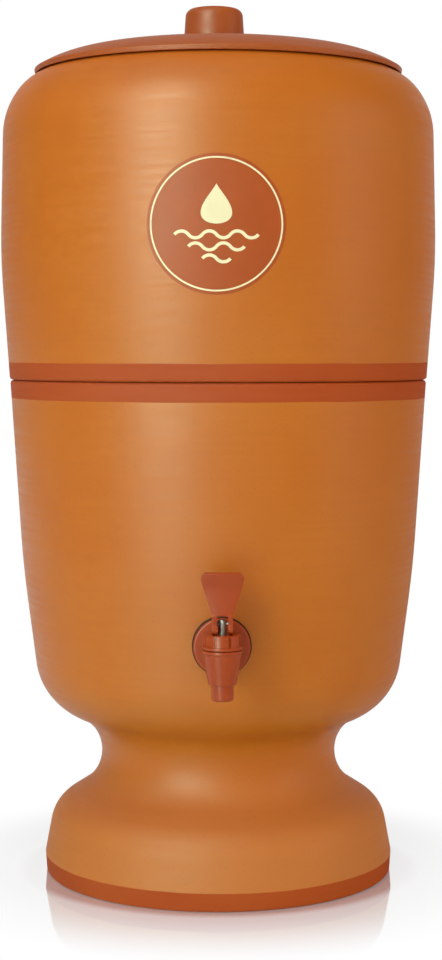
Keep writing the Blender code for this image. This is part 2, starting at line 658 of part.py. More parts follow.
def heel_curve():
    """Side view of the lever's heel, as (back, up) from the pin, toe first.

    The cap's flat top is the follower. At a tilt t it must lie HEEL_DEPTH + LIFT_PER_RADIAN * t below the
    pin, so the lift is even, and the heel is the involute that rolls on it.
    """
    steps = 8
    points = []
    for k in range(steps, -1, -1):
        tilt = math.radians(LEVER_SWING + HEEL_SPARE_SWING) * k / steps
        depth = HEEL_DEPTH + LIFT_PER_RADIAN * tilt
        back = -HEEL_REACH * math.cos(tilt) - depth * math.sin(tilt)
        up = HEEL_REACH * math.sin(tilt) - depth * math.cos(tilt)
        points.append((back, up, 0))
    return points


def make_lever():
    """The front view and the side view of the lever, each as a prism, share the lever between them."""
    leg = LEG_SLOT / 2 + LEG_WIDTH
    front_half = [
        (leg, -HEEL_DEPTH - CUT_PAST, 0),
        (leg, LEG_SLOT_TOP, LEG_SLOT_TOP),
        (PADDLE_MIDDLE_WIDTH / 2, PADDLE_MIDDLE_HEIGHT, PADDLE_MIDDLE_HEIGHT),
        (PADDLE_WIDTH / 2, PADDLE_HEIGHT, PADDLE_CORNER),
    ]
    front_view = front_half + [(-across, up, fillet) for across, up, fillet in reversed(front_half)]
    deep = PADDLE_HEIGHT          # more than the side view needs
    lever = prism("tap_lever", front_view, -deep, deep, lever_axis, TAP_PLASTIC, turn=FACING_FRONT)
    toe = heel_curve()
    side_view = toe + [
        (HEEL_BACK, -HEEL_DEPTH, FINE_EDGE),
        (HEEL_BACK, LEG_SLOT_TOP, LEG_SLOT_TOP),
        (PADDLE_THICKNESS - PADDLE_LEAN, PADDLE_MIDDLE_HEIGHT, PADDLE_MIDDLE_HEIGHT),
        (PADDLE_THICKNESS / 2 - PADDLE_LEAN, PADDLE_HEIGHT, PADDLE_EDGE),
        (-PADDLE_THICKNESS / 2 - PADDLE_LEAN, PADDLE_HEIGHT, PADDLE_EDGE),
        (-PADDLE_LEAN, PADDLE_MIDDLE_HEIGHT, PADDLE_MIDDLE_HEIGHT),
        (-HEEL_BACK, LEG_SLOT_TOP, LEG_SLOT_TOP),
        (toe[0][0], 0, STEM_RADIUS),
    ]
    side = prism("lever_side_view", side_view, -PADDLE_WIDTH, PADDLE_WIDTH, lever_axis, turn=FACING_RIGHT)
    slot_low = -HEEL_DEPTH - 2 * CUT_PAST
    slot_corners = [
        (-LEG_SLOT / 2, slot_low, 0), (LEG_SLOT / 2, slot_low, 0),
        (LEG_SLOT / 2, LEG_SLOT_TOP, FINE_EDGE), (-LEG_SLOT / 2, LEG_SLOT_TOP, FINE_EDGE),
    ]
    slot = prism("lever_slot", slot_corners, -deep - CUT_PAST, deep + CUT_PAST, lever_axis, turn=FACING_FRONT)
    across = leg + CUT_PAST
    hole = turned("lever_pin_hole", disc_outline(PIN_RADIUS + GAP, -across, across), lever_axis,
                  steps=TINY_STEPS, turn=FACING_RIGHT)
    combine(lever, "INTERSECT", side)
    combine(lever, "DIFFERENCE", slot, hole)


# Filter candle

def make_candle():
    shell_height = CANDLE_HEIGHT
    inner = CANDLE_RADIUS - CANDLE_WALL
    candle_axis = empty("candle_axis", (0, 0, CANDLE_SHELL_BOTTOM), vessel_axis)
    turned("candle_shell", [
        (0, shell_height - CANDLE_WALL, 0),
        (inner, shell_height - CANDLE_WALL, CANDLE_DOME_FILLET - CANDLE_WALL),
        (inner, 0, 0),
        (CANDLE_RADIUS, 0, FINE_EDGE),
        (CANDLE_RADIUS, shell_height, CANDLE_DOME_FILLET),
        (0, shell_height, 0),
    ][::-1], candle_axis, CERAMIC)
    fill = inner - GAP
    turned("candle_carbon", [
        (0, shell_height - CANDLE_WALL - GAP, 0),
        (fill, shell_height - CANDLE_WALL - GAP, CANDLE_DOME_FILLET - CANDLE_WALL),
        (fill, 0, FINE_EDGE),
        (0, 0, 0),
    ], candle_axis, CARBON)
    holder = CANDLE_RADIUS + GAP
    turned("candle_base", [
        (CANDLE_STEM_BORE, CANDLE_BASE_FLOOR, 0),
        (holder, CANDLE_BASE_FLOOR, 0),
        (holder, CANDLE_BASE_LIP, FINE_EDGE),
        (CANDLE_BASE_RADIUS, CANDLE_BASE_LIP, SMALL_EDGE),
        (CANDLE_BASE_RADIUS, 0, SMALL_EDGE),
        (CANDLE_STEM_RADIUS, 0, 0),
        (CANDLE_STEM_RADIUS, -CANDLE_STEM_LENGTH, SMALL_EDGE),
        (CANDLE_STEM_BORE, -CANDLE_STEM_LENGTH, 0),
    ], vessel_axis, WHITE_PLASTIC, closed=True, place=(0, 0, CANDLE_BASE_BOTTOM))


def make_candle_fixings():
    bore = CANDLE_STEM_RADIUS + GAP
    gasket_top = CANDLE_GASKET_BOTTOM + CANDLE_GASKET_THICKNESS
    gasket = ring_outline(bore, CANDLE_GASKET_RADIUS, CANDLE_GASKET_BOTTOM, gasket_top, SMALL_EDGE)
    turned("candle_gasket", gasket, vessel_axis, RUBBER, closed=True)
    washer_bottom = CANDLE_WASHER_TOP - CANDLE_WASHER_THICKNESS
    washer = ring_outline(bore, CANDLE_WASHER_RADIUS, washer_bottom, CANDLE_WASHER_TOP, SMALL_EDGE)
    turned("candle_washer", washer, vessel_axis, RUBBER, closed=True)
    nut_bottom = WING_NUT_TOP - WING_NUT_HEIGHT
    barrel = disc_outline(WING_NUT_RADIUS, nut_bottom, WING_NUT_TOP, SMALL_EDGE)
    nut = turned("candle_nut", barrel, vessel_axis, WHITE_PLASTIC)
    tip, low, high = WING_SPAN / 2, nut_bottom + WING_DROP, WING_NUT_TOP - WING_DROP
    ends = ((-tip, low), (tip, low), (tip, high), (-tip, high))
    corners = [(across, up, WING_FILLET) for across, up in ends]
    half = WING_THICKNESS / 2
    wings = prism("nut_wings", corners, -half, half, vessel_axis, turn=FACING_FRONT)
    thread = turned("candle_thread", disc_outline(bore, CANDLE_STEM_END, UPPER_SEAT), vessel_axis)
    combine(nut, "UNION", wings)
    combine(nut, "DIFFERENCE", thread)


# Float valve

def make_valve_body():
    top = VALVE_BODY_BOTTOM + VALVE_BODY_HEIGHT
    body = turned("float_valve_body", [
        (0, top, 0),
        (VALVE_BODY_RADIUS, top, SMALL_EDGE),
        (VALVE_BODY_RADIUS, VALVE_BODY_BOTTOM, SMALL_EDGE),
        (VALVE_NOZZLE_RADIUS, VALVE_BODY_BOTTOM, 0),
        (VALVE_NOZZLE_RADIUS, NOZZLE_END, FINE_EDGE),
        (0, NOZZLE_END, 0),
    ], vessel_axis, WHITE_PLASTIC)
    high = VALVE_BODY_BOTTOM + VALVE_BODY_HEIGHT / 2
    ear_corners = [
        (0, VALVE_BODY_BOTTOM + VALVE_NOZZLE_HEIGHT, 0),
        (FLOAT_PIVOT_X - EAR_RADIUS, FLOAT_PIVOT_Z - EAR_RADIUS, EAR_RADIUS),
        (FLOAT_PIVOT_X + EAR_RADIUS, FLOAT_PIVOT_Z - EAR_RADIUS, EAR_RADIUS),
        (FLOAT_PIVOT_X + EAR_RADIUS, high, EAR_RADIUS),
        (0, high, 0),
    ]
    inner = ARM_WIDTH / 2 + GAP
    ears = [prism(f"valve_ear_{side}", ear_corners, low, low + EAR_THICKNESS, vessel_axis, turn=FACING_FRONT)
            for side, low in (("front", inner), ("back", -inner - EAR_THICKNESS))]
    room = disc_outline(CANDLE_STEM_RADIUS + GAP, top - VALVE_SOCKET_DEPTH, UPPER_SEAT)
    socket = turned("valve_socket", room, vessel_axis)
    channel = disc_outline(VALVE_NOZZLE_BORE, NOZZLE_END - VALVE_NOZZLE_HEIGHT, top)
    bore = turned("valve_bore", channel, vessel_axis, steps=TINY_STEPS)
    pin_room = disc_outline(FLOAT_PIN_RADIUS + GAP, -ARM_WIDTH, ARM_WIDTH)
    pin_hole = turned("valve_pin_hole", pin_room, float_axis, steps=TINY_STEPS, turn=FACING_FRONT)
    combine(body, "UNION", *ears)
    combine(body, "DIFFERENCE", socket, bore, pin_hole)


def make_float_arm():
    """Built level, as when the valve is shut; the float's axis hangs it down."""
    half = ARM_WIDTH / 2
    bar_half, bar_thick = half - GAP, ARM_THICKNESS / 2 - GAP / 2
    end = disc_outline(RING_RADIUS, -ARM_THICKNESS / 2, ARM_THICKNESS / 2, FINE_EDGE)
    arm = turned("float_arm", end, float_axis, WHITE_PLASTIC, place=(-FLOAT_REACH, 0, 0))
    bar_corners = [(-FLOAT_REACH, -bar_half, 0), (0, -bar_half, 0), (0, bar_half, 0),
                   (-FLOAT_REACH, bar_half, 0)]
    bar = prism("arm_bar", bar_corners, -bar_thick, bar_thick, float_axis)
    knuckle = turned("arm_knuckle", disc_outline(EAR_RADIUS - GAP, -half, half), float_axis, steps=TINY_STEPS,
                     turn=FACING_FRONT)
    pin_room = disc_outline(FLOAT_PIN_RADIUS + GAP, -ARM_WIDTH, ARM_WIDTH)
    pin_hole = turned("arm_pin_hole", pin_room, float_axis, steps=TINY_STEPS, turn=FACING_FRONT)
    stud_room = disc_outline(STUD_RADIUS + GAP, -ARM_WIDTH, ARM_WIDTH)
    stud_hole = turned("arm_stud_hole", stud_room, float_axis, steps=TINY_STEPS, place=(-FLOAT_REACH, 0, 0))
    neck_room = disc_outline(STUD_RADIUS / 2 + GAP, -ARM_WIDTH, ARM_WIDTH)
    pad_hole = turned("arm_pad_hole", neck_room, float_axis, steps=TINY_STEPS, place=(-FLOAT_PIVOT_X, 0, 0))
    combine(arm, "UNION", bar)
    combine(arm, "DIFFERENCE", stud_hole, pad_hole)
    combine(arm, "UNION", knuckle)
    combine(arm, "DIFFERENCE", pin_hole)
    face = ARM_THICKNESS / 2 + GAP
    turned("float_pad", [
        (0, ARM_THICKNESS / 2 + PAD_PROUD, 0),
        (PAD_RADIUS, ARM_THICKNESS / 2 + PAD_PROUD, FINE_EDGE),
        (PAD_RADIUS, face, 0),
        (STUD_RADIUS / 2, face, 0),
        (STUD_RADIUS / 2, -face, 0),
        (STUD_RADIUS, -face, 0),
        (STUD_RADIUS, -face - STUD_HEAD_HEIGHT, FINE_EDGE),
        (0, -face - STUD_HEAD_HEIGHT, 0),
    ], float_axis, RUBBER, TINY_STEPS, place=(-FLOAT_PIVOT_X, 0, 0))
    span = ARM_WIDTH / 2 + GAP + EAR_THICKNESS
    turned("float_pin", disc_outline(FLOAT_PIN_RADIUS, -span, span, FINE_EDGE), float_axis, STEEL, TINY_STEPS,
           turn=FACING_FRONT)


def make_float():
    """Two thin halves that meet at a lapped seam, hung from the arm by a headed stud."""
    float_top = -ARM_THICKNESS / 2 - GAP
    seam = float_top - FLOAT_HEIGHT / 2
    bottom = float_top - FLOAT_HEIGHT
    inner = FLOAT_RADIUS - FLOAT_WALL
    neck_top = ARM_THICKNESS / 2 + GAP
    float_place = (-FLOAT_REACH, 0, 0)
    turned("float_top_shell", [
        (0, neck_top + STUD_HEAD_HEIGHT, 0),
        (STUD_HEAD, neck_top + STUD_HEAD_HEIGHT, FINE_EDGE),
        (STUD_HEAD, neck_top, 0),
        (STUD_RADIUS, neck_top, 0),
        (STUD_RADIUS, float_top, 0),
        (FLOAT_RADIUS, float_top, FLOAT_ROUNDING),
        (FLOAT_RADIUS, seam, 0),
        (inner, seam, 0),
        (inner, float_top - FLOAT_WALL, FLOAT_ROUNDING - FLOAT_WALL),
        (0, float_top - FLOAT_WALL, 0),
    ], float_axis, WHITE_PLASTIC, place=float_place)
    lap = inner - GAP
    turned("float_bottom_shell", [
        (0, bottom + FLOAT_WALL, 0),
        (lap - FLOAT_WALL, bottom + FLOAT_WALL, FLOAT_ROUNDING - FLOAT_WALL),
        (lap - FLOAT_WALL, seam + FLOAT_LIP, 0),
        (lap, seam + FLOAT_LIP, FINE_EDGE),
        (lap, seam - GAP, 0),
        (FLOAT_RADIUS, seam - GAP, 0),
        (FLOAT_RADIUS, bottom, FLOAT_ROUNDING),
        (0, bottom, 0),
    ], float_axis, WHITE_PLASTIC, place=float_place)


make_lower_vessel()
make_upper_vessel()
make_lid()
make_tap_body()
make_tap_seals()
make_tap_cap()
make_seat_cup()
make_stem()
make_lever()
make_candle()
make_candle_fixings()
make_valve_body()
make_float_arm()
make_float()
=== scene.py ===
"""Looks of a clay water filter.

It has two fired clay vessels with a lid, a lever tap, a filter candle and a float valve.
Everything is in metres, in the frame's own place: +Z up, the tap towards -Y. The pieces are turned and carved
about the axes that the frame gives, and each rides on one of the frame's bodies.
"""

from functools import partial
import json
import math

import bmesh
from bmesh.types import BMEdge, BMVert
import bpy
from mathutils import Matrix, Vector
from mathutils.bvhtree import BVHTree


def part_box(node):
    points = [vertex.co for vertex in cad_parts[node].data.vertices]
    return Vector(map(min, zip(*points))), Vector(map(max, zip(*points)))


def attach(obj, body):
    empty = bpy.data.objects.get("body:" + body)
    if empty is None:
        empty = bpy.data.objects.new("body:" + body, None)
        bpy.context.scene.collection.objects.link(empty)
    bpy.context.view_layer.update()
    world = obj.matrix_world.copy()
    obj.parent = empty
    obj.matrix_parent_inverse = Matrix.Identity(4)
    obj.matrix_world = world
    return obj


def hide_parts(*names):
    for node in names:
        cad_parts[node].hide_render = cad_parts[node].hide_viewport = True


bl_info = {
    "name": "Clay Water Filter",
    "version": (1, 0, 0),
    "blender": (4, 5, 0),
    "location": "View3D > Sidebar > Water Filter",
    "description": "Models a clay water filter round its frame, piece by piece",
    "category": "Object",
}

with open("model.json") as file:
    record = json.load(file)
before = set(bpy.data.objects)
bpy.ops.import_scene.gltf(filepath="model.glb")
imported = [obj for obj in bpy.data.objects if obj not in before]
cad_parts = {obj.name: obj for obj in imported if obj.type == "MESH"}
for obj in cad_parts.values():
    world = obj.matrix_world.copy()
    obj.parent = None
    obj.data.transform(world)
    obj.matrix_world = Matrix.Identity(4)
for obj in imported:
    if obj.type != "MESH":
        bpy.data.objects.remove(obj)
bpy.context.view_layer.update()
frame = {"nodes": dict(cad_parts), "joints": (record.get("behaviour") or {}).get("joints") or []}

GAP = 0.0003                     # between pieces that touch
MERGE = 0.000001                 # points closer than this are one
SAG = 0.00002                    # how far a round may stray from true between two points
WIDEST_STEP = math.radians(9)    # between two points of a small round
CLAY_TURN = 192                  # steps round a vessel
FINE_TURN = 96                   # steps round a gasket, the candle, the float or the badge
SMALL_TURN = 64                  # steps round most small pieces
ROD_TURN = 48                    # steps round the stem, the knuckle and the pad
PIN_TURN = 32                    # steps round a pin
BORE_TURN = 24                   # steps round a narrow bore
THREAD_TURN = 36                 # steps round a thread
HEEL_STEPS = 24                  # steps along the lever's heel
RIDGE = 0.8                      # width of a thread's ridge, as a share of its pitch
NEARLY_ALL = 0.999               # of a side whose two fillets would otherwise meet
CUT_PAST = 0.01                  # how far a hole's cutter stands past the piece
SMALL_EDGE = 0.0006              # rounding of a small turned piece
FINE_EDGE = 0.0003
ROUNDED_FROM = math.radians(38)  # sharper edges are rounded
SHARP_FROM = math.radians(35)    # sharper edges stay sharp in the shading
BEND_STEP = 0.003                # between the cuts of flat print that is bent round the clay
WAVE_ROWS = (3, 2, 1)            # crests in each row of the badge's waves
WAVE_SWEEP = math.radians(104)   # of each arc of a wave
WAVE_STEPS = 14                  # along each arc
DROP_STEPS = 72                  # round the drop
DROP_PLUMP = 1.12                # width of the drop against a round's
DROP_TAPER = 1.6                 # how soon it draws together towards its tip
NOISE_SPAN = (0.3, 0.7)          # nearly all of a noise's values lie between these
PAINTED_HIGHLIGHT_FADE = 0.012                # height over which the foot's painted highlight fades, up or down
PAINTED_HIGHLIGHT_SHARE = 0.85                # how far its colour goes to the painted highlight's colour
PAINTED_HIGHLIGHT_DULLER = 0.20               # roughness that the foot's painted highlight zone adds
RAW_DULLER = 0.42                # roughness that raw clay adds
SLIP_DULLER = 0.32               # roughness that the painted bands add
WORN_SHARE = 0.9                 # how well the bands cover where they are most worn
FAR = 1.0                        # a height past every piece


# Places that the frame gives

def low_of(node):
    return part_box(node)[0]


def high_of(node):
    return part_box(node)[1]


def middle_of(node):
    return (low_of(node) + high_of(node)) / 2


def pivot_of(joint_name):
    return Vector(next(joint["pos_m"] for joint in frame["joints"] if joint["name"] == joint_name))


AXIS_Y = middle_of("upper_vessel").y
RIM_Z = high_of("lower_vessel").z
SEAT_Z = RIM_Z + GAP
LID_Z = high_of("upper_vessel").z + GAP
TAP_Z = middle_of("tap_nut").z
LEVER_PIVOT = pivot_of("lever_tilt")
FLOAT_PIVOT = pivot_of("float_swing")
VALVE_REACH = AXIS_Y - LEVER_PIVOT.y
FACING_FRONT = Matrix.Rotation(math.pi / 2, 4, "X")     # local Z to the front, local Y up
FACING_RIGHT = Matrix.Rotation(math.pi / 2, 4, "Y")     # local Z to the right, local X down

VESSEL = Matrix.Translation((0, AXIS_Y, 0))
UPPER = Matrix.Translation((0, AXIS_Y, SEAT_Z))
LID = Matrix.Translation((0, AXIS_Y, LID_Z))
TAIL = Matrix.Translation((0, AXIS_Y, TAP_Z)) @ FACING_FRONT
VALVE = Matrix.Translation((0, LEVER_PIVOT.y, TAP_Z))
LEVER = Matrix.Translation(LEVER_PIVOT)


# Sizes and colours that a user would change

def length(name, description, default):
    return bpy.props.FloatProperty(name=name, description=description, default=default, unit="LENGTH",
                                   precision=4)


def corner(name, description, *default):
    """Radius, height and fillet of one corner of a turned outline."""
    return bpy.props.FloatVectorProperty(name=name, description=description + ": radius, height, fillet",
                                         default=default, size=3, unit="LENGTH", precision=4)


def colour(name, description, *default):
    return bpy.props.FloatVectorProperty(name=name, description=description, default=default, size=3, min=0,
                                         max=1, subtype="COLOR")


def factor(name, description, default):
    return bpy.props.FloatProperty(name=name, description=description, default=default, min=0, max=1,
                                   subtype="FACTOR")


def angle(name, description, degrees):
    return bpy.props.FloatProperty(name=name, description=description, default=math.radians(degrees),
                                   subtype="ANGLE")


def watts(name, description, default):
    return bpy.props.FloatProperty(name=name, description="Watts of the " + description, default=default,
                                   min=0, unit="POWER")


class LowerVesselSizes(bpy.types.PropertyGroup):
    """Bowl and pedestal, heights from the floor"""
    rim: corner("Rim", "Top edge", 0.1196, 0.2804, 0.0018)
    belly: corner("Belly", "Start of the upper wall", 0.1121, 0.1737, 0.5870)
    bowl: corner("Bowl", "Turn under the bowl", 0.1018, 0.0974, 0.0370)
    waist: corner("Waist", "Where the slopes at the waist would meet", 0.0395, 0.0722, 0.0234)
    shoulder: corner("Shoulder", "Turn over the foot", 0.0943, 0.0374, 0.0206)
    foot: corner("Foot", "Widest part of the foot", 0.0993, 0.0106, 0.0040)
    base: corner("Base", "Edge on the floor", 0.0985, 0.0, 0.0018)
    wall: length("Wall", "Thickness of the bowl's wall", 0.0095)
    foot_wall: length("Foot wall", "Thickness of the pedestal's wall", 0.0110)
    floor_rise: length("Floor rise", "Bowl floor over the waist's corner", 0.0055)
    floor_thickness: length("Floor thickness", "Clay between bowl and pedestal", 0.0120)
    inside_fillet: length("Inside fillet", "Rounding where wall and floor meet", 0.0120)
    tap_hole: length("Tap hole", "Radius of the hole for the tap's tail", 0.0090)
    band: length("Band", "Width of the painted band under the rim", 0.0102)
    foot_band: length("Foot band", "From the foot's widest part down to its painted band", 0.0004)
    # Up to this height over the foot's shoulder the clay is painted paler, as a painted highlight
    pale_foot: length("Pale foot", "How far over the foot's shoulder the clay is paler", 0.0230)


class UpperVesselSizes(bpy.types.PropertyGroup):
    """Upper vessel, heights from its seat on the lower rim"""
    lip: corner("Lip", "Outer edge of the mouth", 0.1012, 0.1756, 0.0009)
    neck: corner("Neck", "Turn over the shoulder", 0.1107, 0.1707, 0.0265)
    shoulder: corner("Shoulder", "Shoulder", 0.1236, 0.1550, 0.0426)
    belly: corner("Belly", "Widest part", 0.1251, 0.0695, 0.4030)
    seat: corner("Seat", "Edge on the lower rim", 0.1198, 0.0, 0.0018)
    wall: length("Wall", "Thickness of the wall", 0.0095)
    mouth: length("Mouth", "Radius of the mouth", 0.0970)
    spigot: corner("Spigot", "Step inside the lower rim", 0.108165, -0.0087, 0.0018)
    floor: length("Floor", "Height of the floor", 0.0033)
    inside_fillet: length("Inside fillet", "Rounding where wall and floor meet", 0.0120)
    stem_hole: length("Stem hole", "Radius of the hole for the candle's stem", 0.0060)
    band: length("Band", "Width of the painted band over the seat", 0.0097)


class LidSizes(bpy.types.PropertyGroup):
    """Lid, heights from its seat on the upper rim"""
    top: length("Top", "Height of the dome's middle", 0.0150)
    crown: corner("Crown", "Turn of the dome", 0.0898, 0.0114, 0.0710)
    edge: corner("Edge", "Outer edge", 0.1060, 0.0016, 0.0006)
    drip: corner("Drip", "Where the edge hangs below the seat", 0.1054, -0.0012, 0.0006)
    lip_play: length("Lip play", "Between that edge and the upper vessel's lip", 0.0010)
    thickness: length("Thickness", "Thickness of the dome", 0.0090)
    skirt: corner("Skirt", "Locating ring inside the mouth", 0.0955, -0.0120, 0.0018)
    skirt_wall: length("Skirt wall", "Thickness of the ring", 0.0085)
    inside_fillet: length("Inside fillet", "Rounding where ring and dome meet", 0.0060)
    knob_top: corner("Knob top", "Rounded top edge of the knob", 0.0163, 0.0379, 0.0045)
    knob_side: corner("Knob side", "Foot of the knob's side", 0.0178, 0.0150, 0.0045)
    knob_foot: length("Knob foot", "Radius of the knob's foot in the dome", 0.0205)
    knob_shift: length("Knob shift", "How far left of the middle the knob was set on", 0.0023)


class TapSizes(bpy.types.PropertyGroup):
    """Tap, heights from its tail's axis, depths from the vessel's axis"""
    flange: length("Flange", "Radius of the flange", 0.0150)
    flange_edge: length("Flange edge", "Rounding of the flange's edge", 0.0012)
    neck: length("Neck", "Radius between flange and barrel", 0.0080)
    tail: length("Tail", "Radius of the threaded tail", 0.0080)
    tail_bore: length("Tail bore", "Radius of the bore", 0.0050)
    thread: length("Thread", "Radius under the cap", 0.0076)
    thread_top: length("Thread top", "Top of the body under the cap", 0.0042)
    ring: corner("Ring", "Top of the ring round the barrel", 0.0104, 0.0012, 0.0005)
    ring_thickness: length("Ring thickness", "Thickness of the ring", 0.0016)
    waist: corner("Waist", "Narrowing of the barrel", 0.0083, -0.0108, 0.0060)
    foot: corner("Foot", "Edge over the spout", 0.0073, -0.0164, 0.0004)
    spout: corner("Spout", "End of the spout", 0.0057, -0.0250, 0.0013)
    spout_bore: length("Spout bore", "Radius of the spout's bore", 0.0038)
    chamber: length("Chamber", "Radius of the valve's chamber", 0.0062)
    chamber_floor: length("Chamber floor", "Height of the seat", -0.0095)
    cap: corner("Cap", "Top edge of the notched cap", 0.0096, 0.0092, 0.0010)
    cap_roof: length("Cap roof", "Thickness of the cap's top", 0.0033)
    cap_ring: length("Cap ring", "Thickness of the cap's lower ring", 0.0017)
    notches: bpy.props.IntProperty(name="Notches", description="Notches round the cap", default=8, min=3,
                                   max=24)
    notch_width: length("Notch width", "Width of a notch", 0.0012)
    notch_depth: length("Notch depth", "Depth of a notch", 0.0009)
    soft_edge: length("Soft edge", "Rounding of the cap's moulded edges", 0.0002)
    standoff: length("Standoff", "Valve's axis in front of the flange", 0.0163)
    under_ring: length("Under ring", "Slope under the ring", 0.0006)
    collar: length("Collar", "Rounding between ring and barrel", 0.0018)
    passage: length("Passage", "Radius of the passage from tail to chamber", 0.0024)
    passage_start: length("Passage start", "Passage below the tail's axis, at its start", 0.0032)
    passage_end: length("Passage end", "Passage below the tail's axis, at its end", 0.0064)
    stem: length("Stem", "Radius of the steel stem", 0.0022)
    pin: length("Pin", "Radius of the lever's pin", 0.0010)


class LeverSizes(bpy.types.PropertyGroup):
    """Tap lever, heights from its pin"""
    leg: length("Leg", "Thickness of a leg", 0.0022)
    slot: length("Slot", "Width between the legs", 0.0061)
    slot_top: length("Slot top", "Top of the slot", 0.0043)
    middle_width: length("Middle width", "Width of the paddle's middle", 0.0192)
    middle_height: length("Middle height", "Height of the paddle's middle", 0.0172)
    top_width: length("Top width", "Width of the paddle's top", 0.0237)
    height: length("Height", "Height of the paddle's top", 0.0264)
    corner: length("Corner", "Rounding of the paddle's corners", 0.0030)
    thickness: length("Thickness", "Thickness of the paddle", 0.0032)
    lean: length("Lean", "How far the paddle stands in front of the pin", 0.0020)
    edge: length("Edge", "Rounding of all its edges", 0.0004)
    top_edge: length("Top edge", "Rounding of the paddle's top, front and back", 0.0010)
    heel: length("Heel", "Depth of the heel under the pin", 0.0050)
    heel_back: length("Heel back", "How far the legs reach behind the pin", 0.0036)
    lift: length("Lift", "Rise of the stem for each radian of tilt", 0.0035)
    roll: angle("Roll", "Tilt up to which the heel rolls", 44)
    toe: length("Toe", "Rounding over the toe", 0.0015)
    leg_bend: length("Leg bend", "Rounding where the legs run into the paddle", 0.0036)
    flare_bend: length("Flare bend", "Rounding of the paddle's flare", 0.0165)
    slot_corner: length("Slot corner", "Rounding of the slot's corners", 0.0011)


class SealSizes(bpy.types.PropertyGroup):
    """Gaskets and nut that hold the tap in the wall"""
    outer_gasket: length("Outer gasket", "Radius of the gasket under the flange", 0.0156)
    inner_gasket: length("Inner gasket", "Radius of the gasket inside the bowl", 0.0135)
    gasket_edge: length("Gasket edge", "Rounding of the gaskets' edges", 0.0005)
    nut: length("Nut", "Radius of the nut over its corners", 0.0140)
    nut_corner: length("Nut corner", "Rounding of its corners", 0.0014)
    nut_chamfer: length("Nut chamfer", "Radius at which its chamfer starts", 0.0121)


class CandleSizes(bpy.types.PropertyGroup):
    """Filter candle and what holds it on the upper floor"""
    radius: length("Radius", "Radius of the ceramic shell", 0.0270)
    wall: length("Wall", "Thickness of the shell", 0.0080)
    dome: length("Dome", "Rounding of the shell's top", 0.0210)
    base: length("Base", "Radius of the base", 0.0305)
    base_floor: length("Base floor", "Thickness of the base's floor", 0.0040)
    base_lip: length("Base lip", "Height of the lip round the shell", 0.0110)
    base_edge: length("Base edge", "Rounding of the base", 0.0016)
    stem: length("Stem", "Radius of the threaded stem", 0.0050)
    bore: length("Bore", "Radius of the stem's bore", 0.0020)
    pitch: length("Pitch", "Pitch of the stem's thread", 0.0016)
    thread_depth: length("Thread depth", "Depth of the stem's thread", 0.0005)
    gasket: length("Gasket", "Radius of the gasket over the floor", 0.0160)
    washer: length("Washer", "Radius of the washer under the floor", 0.0130)
    nut: length("Nut", "Radius of the wing nut", 0.0085)
    wing_span: length("Wing span", "Width over the wings", 0.0340)
    wing_thickness: length("Wing thickness", "Thickness of a wing", 0.0026)
    wing_fillet: length("Wing fillet", "Rounding of the wings' corners", 0.0027)
    wing_drop: length("Wing drop", "How far the nut stands past its wings", 0.0008)


class FloatSizes(bpy.types.PropertyGroup):
    """Float valve that shuts when the lower vessel is full"""
    body: length("Body", "Radius of the valve's body", 0.0085)
    body_height: length("Body height", "Height of the valve's body", 0.0190)
    socket: length("Socket", "Depth of the stem's socket", 0.0110)
    nozzle: length("Nozzle", "Radius of the nozzle", 0.0030)
    nozzle_bore: length("Nozzle bore", "Radius of the nozzle's bore", 0.0014)
    ear: length("Ear", "Radius of the ears round the pin", 0.0036)
    ear_thickness: length("Ear thickness", "Thickness of an ear", 0.0020)
    pin: length("Pin", "Radius of the float's pin", 0.0012)
    swing: angle("Swing", "How far the float hangs below level", 25)
    arm_width: length("Arm width", "Width of the arm", 0.0080)
    arm_thickness: length("Arm thickness", "Thickness of the arm", 0.0024)
    reach: length("Reach", "From the pin to the float's middle", 0.0600)
    eye: length("Eye", "Radius of the arm's eye over the float", 0.0075)
    stud: length("Stud", "Radius of the float's stud", 0.0030)
    stud_head: length("Stud head", "Radius of the stud's head", 0.0040)
    stud_head_height: length("Stud head height", "Height of the heads of stud and pad", 0.0012)
    pad: length("Pad", "Radius of the rubber pad", 0.0042)
    pad_proud: length("Pad proud", "Height of the pad over the arm", 0.0015)
    radius: length("Radius", "Radius of the float", 0.0210)
    height: length("Height", "Height of the float", 0.0260)
    wall: length("Wall", "Thickness of the float's wall", 0.0015)
    rounding: length("Rounding", "Rounding of the float's ends", 0.0065)
    lap: length("Lap", "Lower half's lip inside the upper half", 0.0025)


class BadgeSizes(bpy.types.PropertyGroup):
    """Round printed badge on the upper vessel"""
    radius: length("Radius", "Radius of the badge", 0.0366)
    height: length("Height", "Height of its middle from the floor", 0.3626)
    shift: length("Shift", "How far right of the middle it sits", -0.0030)
    margin: length("Margin", "Ground outside the ring", 0.0017)
    ring: length("Ring", "Width of the ring", 0.0009)
    stroke: length("Stroke", "Width of the waves' strokes", 0.0017)
    drop: length("Drop", "Length of the drop", 0.0210)
    drop_rise: length("Drop rise", "Height of the drop's middle over the badge's", 0.0105)
    wave_drop: length("Wave drop", "Depth of the first waves under the badge's middle", 0.0055)
    wave_gap: length("Wave gap", "Between one row of waves and the next", 0.0062)
    wave_radius: length("Wave radius", "Radius of the waves' arcs", 0.0046)
    proud: length("Proud", "How far the print stands off the clay", 0.00012)


